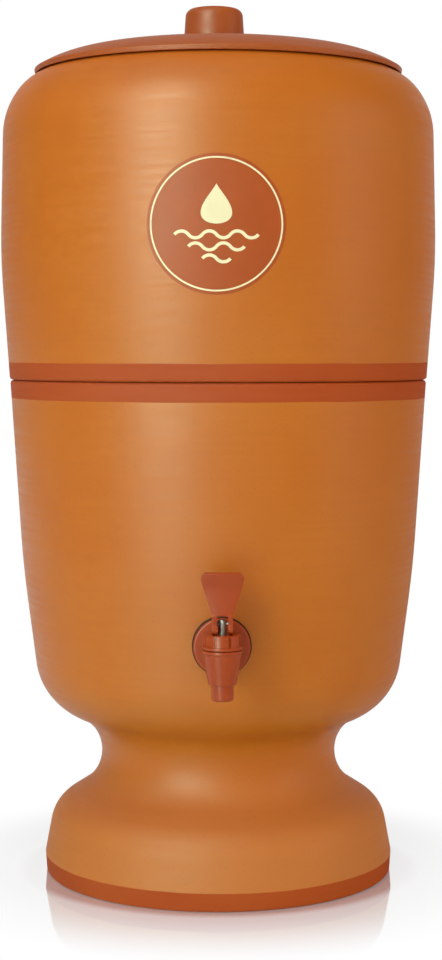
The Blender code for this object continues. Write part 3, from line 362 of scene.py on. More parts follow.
class FinishLooks(bpy.types.PropertyGroup):
    """Colours and sheen"""
    clay_light: colour("Clay light", "Burnished clay where it is ochre", 0.530, 0.140, 0.010)
    clay_deep: colour("Clay deep", "Burnished clay where it is redder", 0.510, 0.117, 0.004)
    # The paler foot colour is a painted highlight: light falls broadly on the foot's shoulder
    clay_pale: colour("Clay pale", "Burnished clay of the foot, where it is paler", 0.540, 0.156, 0.025)
    clay_raw: colour("Raw clay", "Clay inside and underneath", 0.540, 0.195, 0.070)
    slip: colour("Slip", "Red slip of the bands", 0.405, 0.050, 0.000)
    lid_light: colour("Lid light", "Lid where it is ochre", 0.405, 0.088, 0.012)
    lid_deep: colour("Lid deep", "Lid where it is redder", 0.372, 0.074, 0.008)
    badge_ground: colour("Badge ground", "Red brown of the badge", 0.435, 0.076, 0.011)
    badge_lines: colour("Badge lines", "Cream of the badge", 0.930, 0.790, 0.480)
    tap: colour("Tap plastic", "Red brown plastic", 0.388, 0.052, 0.008)
    rubber: colour("Rubber", "Black rubber", 0.045, 0.014, 0.010)
    white: colour("White plastic", "White plastic", 0.760, 0.750, 0.720)
    float_white: colour("Float plastic", "Float", 0.800, 0.785, 0.740)
    ceramic: colour("Ceramic", "Candle", 0.800, 0.780, 0.730)
    steel: colour("Steel", "Stem and pins", 0.500, 0.410, 0.390)
    silicone: colour("Silicone", "Seat cup", 0.620, 0.620, 0.600)
    carbon: colour("Carbon", "Candle's filling", 0.020, 0.020, 0.022)
    clay_sheen: factor("Clay roughness", "Roughness of burnished clay", 0.42)
    lid_sheen: factor("Lid roughness", "Roughness of the lid", 0.45)
    tap_sheen: factor("Tap roughness", "Roughness of the tap", 0.30)


class StudioSettings(bpy.types.PropertyGroup):
    """Camera and light"""
    distance: length("Distance", "Camera from the vessels' axis", 1.137)
    eye: length("Eye", "Camera over the floor", 0.2975)
    azimuth: angle("Azimuth", "How far left the camera stands", 0.95)
    lens: bpy.props.FloatProperty(name="Lens", description="Focal length in millimetres", default=73.7, min=1)
    shift_x: bpy.props.FloatProperty(name="Shift X", description="Shift of the view to the right",
                                     default=0.0029)
    shift_y: bpy.props.FloatProperty(name="Shift Y", description="Shift of the view upwards", default=-0.1354)
    key: watts("Key", "key light", 12.7)
    strip: watts("Strip", "strip seen only in reflections", 50.0)
    shine: colour("Shine", "Colour of the strip", 0.66, 1.0, 0.80)
    fill: watts("Fill", "fill light", 14.5)
    front: watts("Front", "low front light", 3.5)
    top: watts("Top", "top light", 12.0)
    room_front: factor("Room in front", "Light of the room behind the camera", 0.20)
    room_shine: factor("Room shine", "How bright the room is in reflections", 0.66)
    floor_left: factor("Floor left", "How bright the floor's left side is in reflections", 1.0)
    floor_right: factor("Floor right", "How bright the floor's right side is in reflections", 0.35)


# Drawing, turning and carving

def inset(corners, wall):
    """The outline, which runs down its outer side, moved inwards by a wall, with its fillets concentric."""
    spots = [Vector(spot[:2]) for spot in corners]
    runs = [(b - a).normalized() for a, b in zip(spots, spots[1:])]
    moved = [Vector((run.y, -run.x)) * wall for run in runs]
    result = []
    for i, spot in enumerate(spots):
        fillet = corners[i][2]
        if i in (0, len(spots) - 1):
            place = spot + moved[min(i, len(runs) - 1)]
        else:
            turn = runs[i - 1].cross(runs[i])
            start = spot + moved[i - 1]
            place = start + runs[i - 1] * (spot + moved[i] - start).cross(runs[i]) / turn
            fillet = max(fillet + math.copysign(wall, turn), 0.0) if fillet else 0.0
        result.append((place.x, place.y, fillet))
    return result


def cross_height(a, b, height):
    """Radius at which the straight side through two corners reaches the height."""
    return a[0] + (b[0] - a[0]) * (height - a[1]) / (b[1] - a[1])


def only(kind, items):
    """Those of an operator's results that are of the kind."""
    return [item for item in items if isinstance(item, kind)]


def draw(bm, corners, closed=False, raw=()):
    """Draws (across, up, fillet) corners in the XZ plane. A fillet is a point spun round its centre.

    The corners numbered in raw are marked as unburnished clay.
    """
    mark = bm.verts.layers.float.get("raw") or bm.verts.layers.float.new("raw")
    spots = [Vector((spot[0], 0, spot[1])) for spot in corners]
    ends = []
    for i, spot in enumerate(spots):
        to_last = (spots[i - 1] - spot).normalized()
        to_next = (spots[(i + 1) % len(spots)] - spot).normalized()
        sweep = math.pi - to_last.angle(to_next)
        fillet = corners[i][2]
        if fillet == 0 or sweep < MERGE or (not closed and i in (0, len(spots) - 1)):
            first = last = bm.verts.new(spot)
            first[mark] = float(i in raw)
        else:
            reach = fillet * math.tan(sweep / 2)
            centre = spot + (to_last + to_next).normalized() * fillet / math.cos(sweep / 2)
            first = bm.verts.new(spot + to_last * reach)
            first[mark] = float(i in raw)
            steps = math.ceil(sweep / min(WIDEST_STEP, math.sqrt(8 * SAG / fillet)))
            arc = bmesh.ops.spin(bm, geom=[first], cent=centre, axis=to_next.cross(to_last), angle=sweep,
                                 steps=steps)
            last = only(BMVert, arc["geom_last"])[0]
        ends.append((first, last))
    following = ends[1:] + ends[:1] if closed else ends[1:]
    for i, ((_, last), (first, _)) in enumerate(zip(ends, following)):
        if (first.co - last.co).dot(spots[(i + 1) % len(spots)] - spots[i]) < 0:
            raise ValueError(f"the fillets at corners {i} and {i + 1} overlap")
        bm.edges.new((last, first))


def placed(name, bm, place=Matrix()):
    """An object at the origin whose mesh holds the place."""
    bmesh.ops.transform(bm, matrix=place, verts=bm.verts[:])
    mesh = bpy.data.meshes.new(name)
    bm.to_mesh(mesh)
    bm.free()
    made = bpy.data.objects.new(name, mesh)
    bpy.context.scene.collection.objects.link(made)
    return made


def turned(name, corners, place, steps=SMALL_TURN, closed=False, raw=()):
    """The outline turned about the place's Z axis."""
    bm = bmesh.new()
    draw(bm, corners, closed, raw)
    bmesh.ops.spin(bm, geom=bm.verts[:] + bm.edges[:], cent=(0, 0, 0), axis=(0, 0, 1), angle=2 * math.pi,
                   steps=steps, use_merge=True)
    bmesh.ops.remove_doubles(bm, verts=bm.verts[:], dist=MERGE)
    bmesh.ops.recalc_face_normals(bm, faces=bm.faces[:])
    return placed(name, bm, place)


def rod(name, radius, low, high, place, steps=SMALL_TURN, edge=0.0):
    """A plain disc or cylinder."""
    return turned(name, [(0, high, 0), (radius, high, edge), (radius, low, edge), (0, low, 0)], place, steps)


def washer(name, inner, outer, low, high, edge, steps=SMALL_TURN, place=VESSEL):
    """A ring whose outer edges are rounded."""
    outline = [(inner, high, 0), (outer, high, edge), (outer, low, edge), (inner, low, 0)]
    return turned(name, outline, place, steps, closed=True)


def thickened(bm, depth):
    """Gives flat faces a depth along Y, and turns all faces outwards."""
    far = bmesh.ops.extrude_face_region(bm, geom=bm.faces[:])["geom"]
    bmesh.ops.translate(bm, verts=only(BMVert, far), vec=(0, depth, 0))
    bmesh.ops.recalc_face_normals(bm, faces=bm.faces[:])


def raised(name, corners, low, high, place):
    """The closed outline in the place's XZ plane, raised along its Y axis from low to high."""
    bm = bmesh.new()
    draw(bm, corners, closed=True)
    bmesh.ops.contextual_create(bm, geom=bm.edges[:])
    bmesh.ops.translate(bm, verts=bm.verts[:], vec=(0, low, 0))
    thickened(bm, high - low)
    return placed(name, bm, place)


def screw(name, radius, depth, pitch, low, high, place):
    """A thread's ridge. Its root lies half its depth inside the rod that it is joined to."""
    bm = bmesh.new()
    root = radius - 1.5 * depth
    spots = [(root, 0, low), (radius, 0, low + pitch * RIDGE / 2), (root, 0, low + pitch * RIDGE)]
    face = bmesh.ops.contextual_create(bm, geom=[bm.verts.new(spot) for spot in spots])["faces"]
    turns = (high - low) / pitch - 1
    bmesh.ops.spin(bm, geom=face + bm.edges[:] + bm.verts[:], cent=(0, 0, 0), axis=(0, 0, 1),
                   dvec=(0, 0, pitch / THREAD_TURN), angle=2 * math.pi * turns,
                   steps=round(THREAD_TURN * turns))
    bmesh.ops.recalc_face_normals(bm, faces=bm.faces[:])
    return placed(name, bm, place)


def block(name, width, depth, height, place):
    """A box round its place."""
    bm = bmesh.new()
    bmesh.ops.create_cube(bm, size=1, matrix=Matrix.Diagonal((width, depth, height, 1)))
    return placed(name, bm, place)


def settle(piece):
    """Makes the piece's modifiers part of its mesh, and welds what they left a hair apart."""
    graph = bpy.context.evaluated_depsgraph_get()
    shaped = bpy.data.meshes.new_from_object(piece.evaluated_get(graph))
    bm = bmesh.new()
    bm.from_mesh(shaped)
    bmesh.ops.remove_doubles(bm, verts=bm.verts[:], dist=MERGE)
    bmesh.ops.dissolve_degenerate(bm, edges=bm.edges[:], dist=MERGE)
    bm.to_mesh(shaped)
    bm.free()
    plain = piece.data
    piece.modifiers.clear()
    piece.data = shaped
    shaped.name = piece.name
    bpy.data.meshes.remove(plain)
    if not shaped.polygons:
        raise RuntimeError(f"{piece.name} came out empty")


def carve(piece, operation, *tools):
    """Joins the tools to the piece or cuts them out of it, and removes them."""
    for tool in tools:
        change = piece.modifiers.new("carve", "BOOLEAN")
        change.operation = operation
        change.object = tool
        change.solver = "EXACT"
    settle(piece)
    for tool in tools:
        bpy.data.meshes.remove(tool.data)
    return piece


def mark_raw(piece, value, holds):
    """Marks the clay at the vertices whose place the test holds for. Joins and cuts mark new ones wrongly."""
    for vertex, mark in zip(piece.data.vertices, piece.data.attributes["raw"].data):
        if holds(vertex.co):
            mark.value = value


def soften(piece, width, segments=3):
    """Rounds the piece's edges."""
    change = piece.modifiers.new("soften", "BEVEL")
    change.width = width
    change.segments = segments
    change.limit_method = "ANGLE"
    change.angle_limit = ROUNDED_FROM
    change.use_clamp_overlap = True
    settle(piece)


def dress(piece, body, slot, finish, *nodes):
    """Gives the piece its finish, and its place on a body in place of the frame's nodes."""
    piece.data.materials.clear()
    piece.data.materials.append(finish_of(finish))
    piece.data.shade_smooth()
    piece.data.set_sharp_from_angle(angle=SHARP_FROM)
    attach(piece, body)
    if nodes:
        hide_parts(*nodes)


# Node groups

def fill(tree, node, sockets):
    """Wires or sets the node's inputs. A colour comes without its alpha."""
    for key, value in sockets.items():
        socket = node.inputs[key]
        if isinstance(value, bpy.types.NodeSocket):
            tree.links.new(value, socket)
        else:
            socket.default_value = (*value, 1.0) if socket.type == "RGBA" else value
    return node


def put(tree, kind, sockets=None, **settings):
    """Adds a node, sets its options, and fills its inputs."""
    made = tree.nodes.new(kind)
    for key, value in settings.items():
        setattr(made, key, value)
    return fill(tree, made, sockets or {})


def calc(tree, operation, *values):
    """A Math node's result."""
    return put(tree, "ShaderNodeMath", dict(enumerate(values)), operation=operation).outputs[0]


def fade(tree, value, start, end, low=0.0, high=1.0):
    """The value mapped smoothly from start..end to low..high."""
    return put(tree, "ShaderNodeMapRange", {"Value": value, "From Min": start, "From Max": end, "To Min": low,
                                            "To Max": high}, interpolation_type="SMOOTHSTEP").outputs[0]


def blend_colours(tree, share, first, second):
    return put(tree, "ShaderNodeMix", {"Factor": share, 6: first, 7: second}, data_type="RGBA").outputs[2]


def noise(tree, vector, scale, detail, roughness=0.5):
    return put(tree, "ShaderNodeTexNoise", {"Vector": vector, "Scale": scale, "Detail": detail,
                                            "Roughness": roughness}).outputs["Fac"]


def parts_of(tree, vector):
    return put(tree, "ShaderNodeSeparateXYZ", {0: vector}).outputs


def new_group(name, inputs, outputs):
    """An empty node group: its tree, its input sockets and its output node. Sockets come as {label: kind}."""
    tree = bpy.data.node_groups.new(name, "ShaderNodeTree")
    for side, sockets in (("INPUT", inputs), ("OUTPUT", outputs)):
        for label, kind in sockets.items():
            tree.interface.new_socket(label, in_out=side, socket_type=f"NodeSocket{kind}")
    return tree, tree.nodes.new("NodeGroupInput").outputs, tree.nodes.new("NodeGroupOutput")


def clay_clouding(name):
    """Two colours that drift into each other, as in fired clay."""
    tree, given, result = new_group(
        name, {"Vector": "Vector", "Light": "Color", "Deep": "Color", "Scale": "Float", "Contrast": "Float"},
        {"Color": "Color", "Mask": "Float"})
    small_size, small_share = 4.3, 0.3
    broad = noise(tree, given["Vector"], given["Scale"], 2.0, 0.45)
    small = noise(tree, given["Vector"], calc(tree, "MULTIPLY", given["Scale"], small_size), 3.0)
    mixed = calc(tree, "MULTIPLY_ADD", small, small_share, calc(tree, "MULTIPLY", broad, 1 - small_share))
    low = calc(tree, "MULTIPLY_ADD", given["Contrast"], -0.5, 0.5)
    high = calc(tree, "MULTIPLY_ADD", given["Contrast"], 0.5, 0.5)
    mask = fade(tree, mixed, high, low)
    fill(tree, result, {"Color": blend_colours(tree, mask, given["Deep"], given["Light"]), "Mask": mask})
    return tree


def turning_marks(name):
    """Fine marks that run round a turned piece."""
    tree, given, result = new_group(name, {"Vector": "Vector", "Scale": "Float", "Stretch": "Float"},
                                    {"Height": "Float"})
    parts = parts_of(tree, given["Vector"])
    across = calc(tree, "DIVIDE", given["Scale"], given["Stretch"])
    spread = {axis: calc(tree, "MULTIPLY", parts[axis], scale)
              for axis, scale in (("X", across), ("Y", across), ("Z", given["Scale"]))}
    streaks = noise(tree, put(tree, "ShaderNodeCombineXYZ", spread).outputs[0], 1.0, 3.0, 0.55)
    fill(tree, result, {"Height": streaks})
    return tree


def fine_grain(name):
    """Fine grain, and the sparse specks of grog in clay or dust on plastic."""
    tree, given, result = new_group(name, {"Vector": "Vector", "Scale": "Float", "Sparse": "Float"},
                                    {"Height": "Float", "Specks": "Float"})
    speck_edge, speck_heart = 0.32, 0.12
    grain = noise(tree, given["Vector"], given["Scale"], 4.0, 0.6)
    half = calc(tree, "MULTIPLY", given["Scale"], 0.5)
    cells = put(tree, "ShaderNodeTexVoronoi", {"Vector": given["Vector"], "Scale": half}).outputs
    pick = put(tree, "ShaderNodeSeparateColor", {0: cells["Color"]}).outputs[0]
    chosen = calc(tree, "GREATER_THAN", pick, given["Sparse"])
    dots = fade(tree, cells["Distance"], speck_edge, speck_heart)
    fill(tree, result, {"Height": grain, "Specks": calc(tree, "MULTIPLY", chosen, dots)})
    return tree


def painted_band(name):
    """Where a painted band lies, between two heights, with an edge drawn by hand."""
    tree, given, result = new_group(name, {"Vector": "Vector", "Low": "Float", "High": "Float",
                                           "Waver": "Float"}, {"Mask": "Float"})
    sway_size, soft = 28.0, 0.00012
    hand = calc(tree, "SUBTRACT", noise(tree, given["Vector"], sway_size, 3.0), 0.5)
    sway = calc(tree, "MULTIPLY", hand, given["Waver"])
    height = calc(tree, "ADD", parts_of(tree, given["Vector"])["Z"], sway)
    over = fade(tree, calc(tree, "SUBTRACT", height, given["Low"]), -soft, soft)
    under = fade(tree, calc(tree, "SUBTRACT", given["High"], height), -soft, soft)
    fill(tree, result, {"Mask": calc(tree, "MULTIPLY", over, under)})
    return tree


def use_group(tree, build, **sockets):
    """A shared node group, built when it is first asked for, with this material's own values."""
    holder = tree.nodes.new("ShaderNodeGroup")
    holder.node_tree = bpy.data.node_groups.get(build.__name__) or build(build.__name__)
    return fill(tree, holder, sockets).outputs


# Finishes

def darker(shade, share):
    return [share * part for part in shade]


def blank(name, **fixed):
    """A new material: itself, its tree, its Principled shader and its coordinates centred on the vessels."""
    made = bpy.data.materials.new(name)
    made.use_nodes = True
    tree = made.node_tree
    shader = fill(tree, tree.nodes["Principled BSDF"],
                  {key.replace("_", " "): value for key, value in fixed.items()})
    spot = put(tree, "ShaderNodeTexCoord").outputs["Object"]
    centred = put(tree, "ShaderNodeMapping", {"Vector": spot, "Location": (0, -AXIS_Y, 0)}).outputs[0]
    return made, tree, shader, centred


def coat(tree, shader, colour_socket, dull, *layers):
    """Wires colour and roughness to the shader, and stacks (height socket, distance) layers of bump on it."""
    fill(tree, shader, {"Base Color": colour_socket, "Roughness": dull})
    lower_layer = {}
    for height, distance in layers:
        layer = put(tree, "ShaderNodeBump", {"Height": height, "Distance": distance, **lower_layer})
        lower_layer = {"Normal": layer.outputs[0]}
    fill(tree, shader, lower_layer)


def specked(tree, grain, share, below, dark):
    """The colour below with the grain's specks on it."""
    return blend_colours(tree, calc(tree, "MULTIPLY", grain["Specks"], share), below, dark)


def fired_clay(name, looks, light, deep, sheen, bands=(), painted_highlight_below=None):
    """Burnished clay with painted bands outside, and raw clay with throwing rings inside."""
    made, tree, shader, spot = blank(name, IOR=1.5, Specular_IOR_Level=0.35)
    raw = put(tree, "ShaderNodeAttribute", attribute_name="raw").outputs["Fac"]
    cloud = use_group(tree, clay_clouding, Vector=spot, Light=light, Deep=deep, Scale=9.0, Contrast=0.5)
    raw_cloud = use_group(tree, clay_clouding, Vector=spot, Light=looks.clay_raw,
                          Deep=darker(looks.clay_raw, 0.82), Scale=14.0, Contrast=0.6)
    marks = use_group(tree, turning_marks, Vector=spot, Scale=420.0, Stretch=26.0)["Height"]
    rings = use_group(tree, turning_marks, Vector=spot, Scale=150.0, Stretch=40.0)["Height"]
    grain = use_group(tree, fine_grain, Vector=spot, Scale=1500.0, Sparse=0.9)
    tint = fade(tree, marks, *NOISE_SPAN, 0.985, 1.015)
    toned = put(tree, "ShaderNodeHueSaturation", {"Color": cloud["Color"], "Value": tint}).outputs[0]
    dull = fade(tree, marks, *NOISE_SPAN, sheen - 0.04, sheen + 0.05)
    # Towards and over the foot's shoulder the clay is painted paler, a painted highlight, and made rougher
    # there
    if painted_highlight_below is not None:
        span = painted_highlight_below - PAINTED_HIGHLIGHT_FADE, painted_highlight_below + PAINTED_HIGHLIGHT_FADE
        paler = fade(tree, parts_of(tree, spot)["Z"], *span, PAINTED_HIGHLIGHT_SHARE, 0.0)
        toned = blend_colours(tree, paler, toned, looks.clay_pale)
        dull = calc(tree, "MULTIPLY_ADD", paler, PAINTED_HIGHLIGHT_DULLER, dull)
    dull = calc(tree, "MULTIPLY_ADD", raw, RAW_DULLER, dull)
    layers = [(calc(tree, "MULTIPLY", rings, raw), 0.0009), (grain["Height"], 0.00003), (marks, 0.000012)]
    if bands:
        painted = 0.0
        for low, high in bands:
            mask = use_group(tree, painted_band, Vector=spot, Low=low, High=high, Waver=0.0009)["Mask"]
            painted = calc(tree, "MAXIMUM", painted, mask)
        painted = calc(tree, "MULTIPLY", painted, calc(tree, "SUBTRACT", 1.0, raw))
        worn = calc(tree, "MULTIPLY", painted, fade(tree, cloud["Mask"], 0.0, 1.0, WORN_SHARE, 1.0))
        toned = blend_colours(tree, worn, toned, looks.slip)
        dull = calc(tree, "MULTIPLY_ADD", painted, SLIP_DULLER, dull)
        layers.append((painted, 0.00012))
    shade = blend_colours(tree, raw, specked(tree, grain, 0.35, toned, darker(deep, 0.5)), raw_cloud["Color"])
    coat(tree, shader, shade, dull, *layers)
    return made


def moulded_plastic(name, shade, roughness, **fixed):
    """Satin moulded plastic with faint flow marks and a worn grain."""
    made, tree, shader, spot = blank(name, **fixed)
    cloud = use_group(tree, clay_clouding, Vector=spot, Light=shade, Deep=darker(shade, 0.9), Scale=90.0,
                      Contrast=0.6)
    grain = use_group(tree, fine_grain, Vector=spot, Scale=3500.0, Sparse=0.93)
    dull = fade(tree, cloud["Mask"], 0.0, 1.0, roughness - 0.03, roughness + 0.05)
    coat(tree, shader, cloud["Color"], dull, (cloud["Mask"], 0.00003), (grain["Height"], 0.00001))
    return made


def printed_paint(name, shade):
    """Flat fired paint, a little uneven."""
    made, tree, shader, spot = blank(name, Specular_IOR_Level=0.25)
    cloud = use_group(tree, clay_clouding, Vector=spot, Light=shade, Deep=darker(shade, 0.88), Scale=60.0,
                      Contrast=0.7)
    grain = use_group(tree, fine_grain, Vector=spot, Scale=2600.0, Sparse=0.95)
    dull = fade(tree, cloud["Mask"], 0.0, 1.0, 0.44, 0.5)
    coat(tree, shader, cloud["Color"], dull, (grain["Height"], 0.00002))
    return made


def drawn_steel(name, shade):
    """Bright steel with fine marks round it."""
    made, tree, shader, spot = blank(name, Metallic=1.0)
    marks = use_group(tree, turning_marks, Vector=spot, Scale=6000.0, Stretch=12.0)["Height"]
    cloud = use_group(tree, clay_clouding, Vector=spot, Light=shade, Deep=darker(shade, 0.8), Scale=400.0,
                      Contrast=0.5)
    coat(tree, shader, cloud["Color"], fade(tree, marks, *NOISE_SPAN, 0.42, 0.56), (marks, 0.000004))
    return made


def matt_porous(name, shade, roughness, grain_scale, depth, **fixed):
    """Bare ceramic, rubber, silicone or carbon: a dull grained surface."""
    made, tree, shader, spot = blank(name, **fixed)
    cloud = use_group(tree, clay_clouding, Vector=spot, Light=shade, Deep=darker(shade, 0.86), Scale=45.0,
                      Contrast=0.6)
    grain = use_group(tree, fine_grain, Vector=spot, Scale=grain_scale, Sparse=0.85)
    dull = fade(tree, grain["Height"], *NOISE_SPAN, roughness - 0.05, roughness + 0.05)
    coat(tree, shader, specked(tree, grain, 0.25, cloud["Color"], darker(shade, 0.6)), dull,
         (grain["Height"], depth))
    return made


def finish_of(kind):
    """The finish of that kind, made when it is first asked for.

    The frame's own plain materials bear the slots' names, so the finishes have names of their own.
    """
    name = f"{kind}_finish"
    if name in bpy.data.materials:
        return bpy.data.materials[name]
    scene = bpy.context.scene
    looks, lower, upper = scene.filter_looks, scene.filter_lower, scene.filter_upper
    vessel = partial(fired_clay, looks=looks, light=looks.clay_light, deep=looks.clay_deep,
                     sheen=looks.clay_sheen)
    recipes = {
        # The lower clay's foot carries a painted highlight up to this height
        "lower_clay": partial(vessel, painted_highlight_below=lower.shoulder[1] + lower.pale_foot,
                              bands=[(-FAR, lower.foot[1] - lower.foot_band), (RIM_Z - lower.band, FAR)]),
        "upper_clay": partial(vessel, bands=[(0.0, SEAT_Z + upper.band)]),
        "lid_clay": partial(fired_clay, looks=looks, light=looks.lid_light, deep=looks.lid_deep,
                            sheen=looks.lid_sheen),
        "badge_ground": partial(printed_paint, shade=looks.badge_ground),
        "badge_lines": partial(printed_paint, shade=looks.badge_lines),
        "tap_plastic": partial(moulded_plastic, shade=looks.tap, roughness=looks.tap_sheen,
                               Specular_IOR_Level=0.3),
        "white_plastic": partial(moulded_plastic, shade=looks.white, roughness=0.38, Subsurface_Weight=0.08,
                                 Subsurface_Scale=0.004),
        "float_plastic": partial(moulded_plastic, shade=looks.float_white, roughness=0.42),
        "rubber": partial(matt_porous, shade=looks.rubber, roughness=0.7, grain_scale=2500.0, depth=0.00002,
                          Specular_IOR_Level=0.2),
        "ceramic": partial(matt_porous, shade=looks.ceramic, roughness=0.88, grain_scale=1800.0,
                           depth=0.00006),
        "silicone": partial(matt_porous, shade=looks.silicone, roughness=0.5, grain_scale=3000.0,
                            depth=0.00001),
        "carbon": partial(matt_porous, shade=looks.carbon, roughness=0.9, grain_scale=700.0, depth=0.0003),
        "steel": partial(drawn_steel, shade=looks.steel),
    }
    return recipes[kind](name)


# Clay pieces

def clay_vessel(name, inside, outside, under, place, closed=False):
    """A clay piece turned from the three runs of its outline. Its first and last run are raw clay."""
    corners = inside + outside + under
    raw = [*range(len(inside)), *range(len(corners) - len(under), len(corners))]
    return turned(name, corners, place, CLAY_TURN, closed, raw)


def lower_outline(sizes):
    return [tuple(spot) for spot in (sizes.rim, sizes.belly, sizes.bowl, sizes.waist, sizes.shoulder,
                                     sizes.foot, sizes.base)]


class FILTER_OT_lower_vessel(bpy.types.Operator):
    """Turn the bowl and its pedestal in one piece, and cut the tap's hole"""
    bl_idname = "water_filter.lower_vessel"
    bl_label = "Lower Vessel"

    def execute(self, context):
        sizes = context.scene.filter_lower
        outer = lower_outline(sizes)
        bowl = inset(outer[:4], sizes.wall)
        pedestal = inset(outer[3:], sizes.foot_wall)
        floor = sizes.waist[1] + sizes.floor_rise
        roof = floor - sizes.floor_thickness
        rim_inside = cross_height(*bowl[:2], sizes.rim[1])
        inside = [(0, floor, 0), (cross_height(*bowl[2:], floor), floor, sizes.inside_fillet),
                  bowl[2], bowl[1], (rim_inside, sizes.rim[1], sizes.rim[2])]
        under = [(pedestal[3][0], 0, sizes.base[2]), pedestal[2], pedestal[1],
                 (cross_height(*pedestal[:2], roof), roof, sizes.inside_fillet), (0, roof, 0)]
        vessel = clay_vessel("lower_vessel_clay", inside, outer, under, VESSEL)
        carve(vessel, "DIFFERENCE", rod("tap_hole", sizes.tap_hole, 0, VALVE_REACH, TAIL))
        mid_wall = cross_height(*outer[1:3], TAP_Z) - sizes.wall / 2
        mark_raw(vessel, 1.0, lambda spot: math.hypot(spot.x, spot.z - TAP_Z) < sizes.tap_hole + GAP
                 and math.hypot(spot.x, spot.y - AXIS_Y) < mid_wall)
        dress(vessel, "lower", "clay", "lower_clay", "lower_vessel")
        return {"FINISHED"}


class FILTER_OT_upper_vessel(bpy.types.Operator):
    """Turn the upper vessel, with its spigot, mouth and the hole for the candle's stem"""
    bl_idname = "water_filter.upper_vessel"
    bl_label = "Upper Vessel"

    def execute(self, context):
        sizes = context.scene.filter_upper
        outer = [tuple(spot) for spot in (sizes.lip, sizes.neck, sizes.shoulder, sizes.belly, sizes.seat)]
        wall = inset(outer, sizes.wall)
        lip, neck = wall[:2]
        under_mouth = lip[1] + (neck[1] - lip[1]) * (sizes.mouth - lip[0]) / (neck[0] - lip[0])
        edge = sizes.seat[2]
        inside = [(sizes.stem_hole, sizes.floor, 0),
                  (cross_height(*wall[3:], sizes.floor), sizes.floor, sizes.inside_fillet),
                  wall[3], wall[2], neck, (sizes.mouth, under_mouth, edge), (sizes.mouth, sizes.lip[1], edge)]
        under = [(sizes.spigot[0], 0, 0), tuple(sizes.spigot), (sizes.stem_hole, sizes.spigot[1], 0)]
        vessel = clay_vessel("upper_vessel_clay", inside, outer, under, UPPER, closed=True)
        dress(vessel, "upper", "clay", "upper_clay", "upper_vessel")
        return {"FINISHED"}


class FILTER_OT_lid(bpy.types.Operator):
    """Turn the lid and set its knob on, a little off centre"""
    bl_idname = "water_filter.lid"
    bl_label = "Lid"

    def execute(self, context):
        sizes = context.scene.filter_lid
        underside = sizes.top - sizes.thickness
        skirt, depth, skirt_edge = sizes.skirt
        skirt_inside = skirt - sizes.skirt_wall
        outside = [(0, sizes.top, 0), tuple(sizes.crown), tuple(sizes.edge), tuple(sizes.drip),
                   (context.scene.filter_upper.lip[0] + sizes.lip_play, 0, 0)]
        under = [(skirt, 0, 0), (skirt, depth, skirt_edge), (skirt_inside, depth, skirt_edge),
                 (skirt_inside, underside - sizes.top + sizes.crown[1], sizes.inside_fillet),
                 (0, underside, 0)]
        lid = clay_vessel("lid_clay", [], outside, under, LID)
        buried = (sizes.top + underside) / 2
        knob = turned("knob", [(0, sizes.knob_top[1], 0), tuple(sizes.knob_top), tuple(sizes.knob_side),
                               (sizes.knob_foot, buried, 0), (0, buried, 0)],
                      LID @ Matrix.Translation((-sizes.knob_shift, 0, 0)))
        carve(lid, "UNION", knob)
        mark_raw(lid, 0.0, lambda spot: spot.z > LID.translation.z + buried)
        dress(lid, "lid", "lid_clay", "lid_clay", "lid")
        return {"FINISHED"}


# Tap

class FILTER_OT_tap_body(bpy.types.Operator):
    """Turn the barrel with its spout and the flange with its tail, join them and bore them"""
    bl_idname = "water_filter.tap_body"
    bl_label = "Tap Body"

    def execute(self, context):
        sizes = context.scene.filter_tap
        radius, top, edge = sizes.ring
        low = top - sizes.ring_thickness
        tail_end = AXIS_Y - high_of("tap_body").y
        flange_back = AXIS_Y - low_of("tap_outer_gasket").y + GAP
        flange_front = VALVE_REACH - sizes.standoff
        inside_barrel = VALVE_REACH - sizes.spout_bore / 2
        body = turned("tap_body_moulding", [
            (0, sizes.thread_top, 0), (sizes.thread, sizes.thread_top, edge), (sizes.thread, top, 0),
            (radius, top, edge), (radius, low, edge),
            (radius - sizes.under_ring, low - sizes.under_ring, sizes.collar),
            tuple(sizes.waist), tuple(sizes.foot), (sizes.spout[0], sizes.foot[1], 0), tuple(sizes.spout),
            (0, sizes.spout[1], 0),
        ], VALVE)
        flange = turned("flange", [
            (0, inside_barrel, 0), (sizes.neck, inside_barrel, 0),
            (sizes.neck, flange_front, sizes.flange_edge), (sizes.flange, flange_front, sizes.flange_edge),
            (sizes.flange, flange_back, edge),
            (sizes.tail, flange_back, 0), (sizes.tail, tail_end, edge), (0, tail_end, 0),
        ], TAIL)
        carve(flange, "DIFFERENCE", rod("cap_room", radius + GAP, top - GAP, sizes.standoff, VALVE))
        carve(body, "UNION", flange)
        start = Vector((0, -(flange_back - sizes.tail), TAP_Z - sizes.passage_start))
        run = Vector((0, -VALVE_REACH, TAP_Z - sizes.passage_end)) - start
        slope = Matrix.Translation(start) @ run.to_track_quat("Z", "X").to_matrix().to_4x4()
        bore, past_spout = sizes.spout_bore, 2 * sizes.spout[1]
        hollow = turned("chamber", [
            (0, sizes.cap[1], 0), (sizes.chamber, sizes.cap[1], 0), (sizes.chamber, sizes.chamber_floor, 0),
            (bore, sizes.chamber_floor, 0), (bore, past_spout, 0), (0, past_spout, 0),
        ], VALVE)
        carve(hollow, "UNION", rod("passage", sizes.passage, 0, run.length, VESSEL @ slope, BORE_TURN))
        carve(hollow, "UNION", rod("tail_bore", sizes.tail_bore, 0, flange_back - sizes.passage, TAIL))
        carve(body, "DIFFERENCE", hollow)
        dress(body, "lower", "tap_plastic", "tap_plastic", "tap_body")
        return {"FINISHED"}


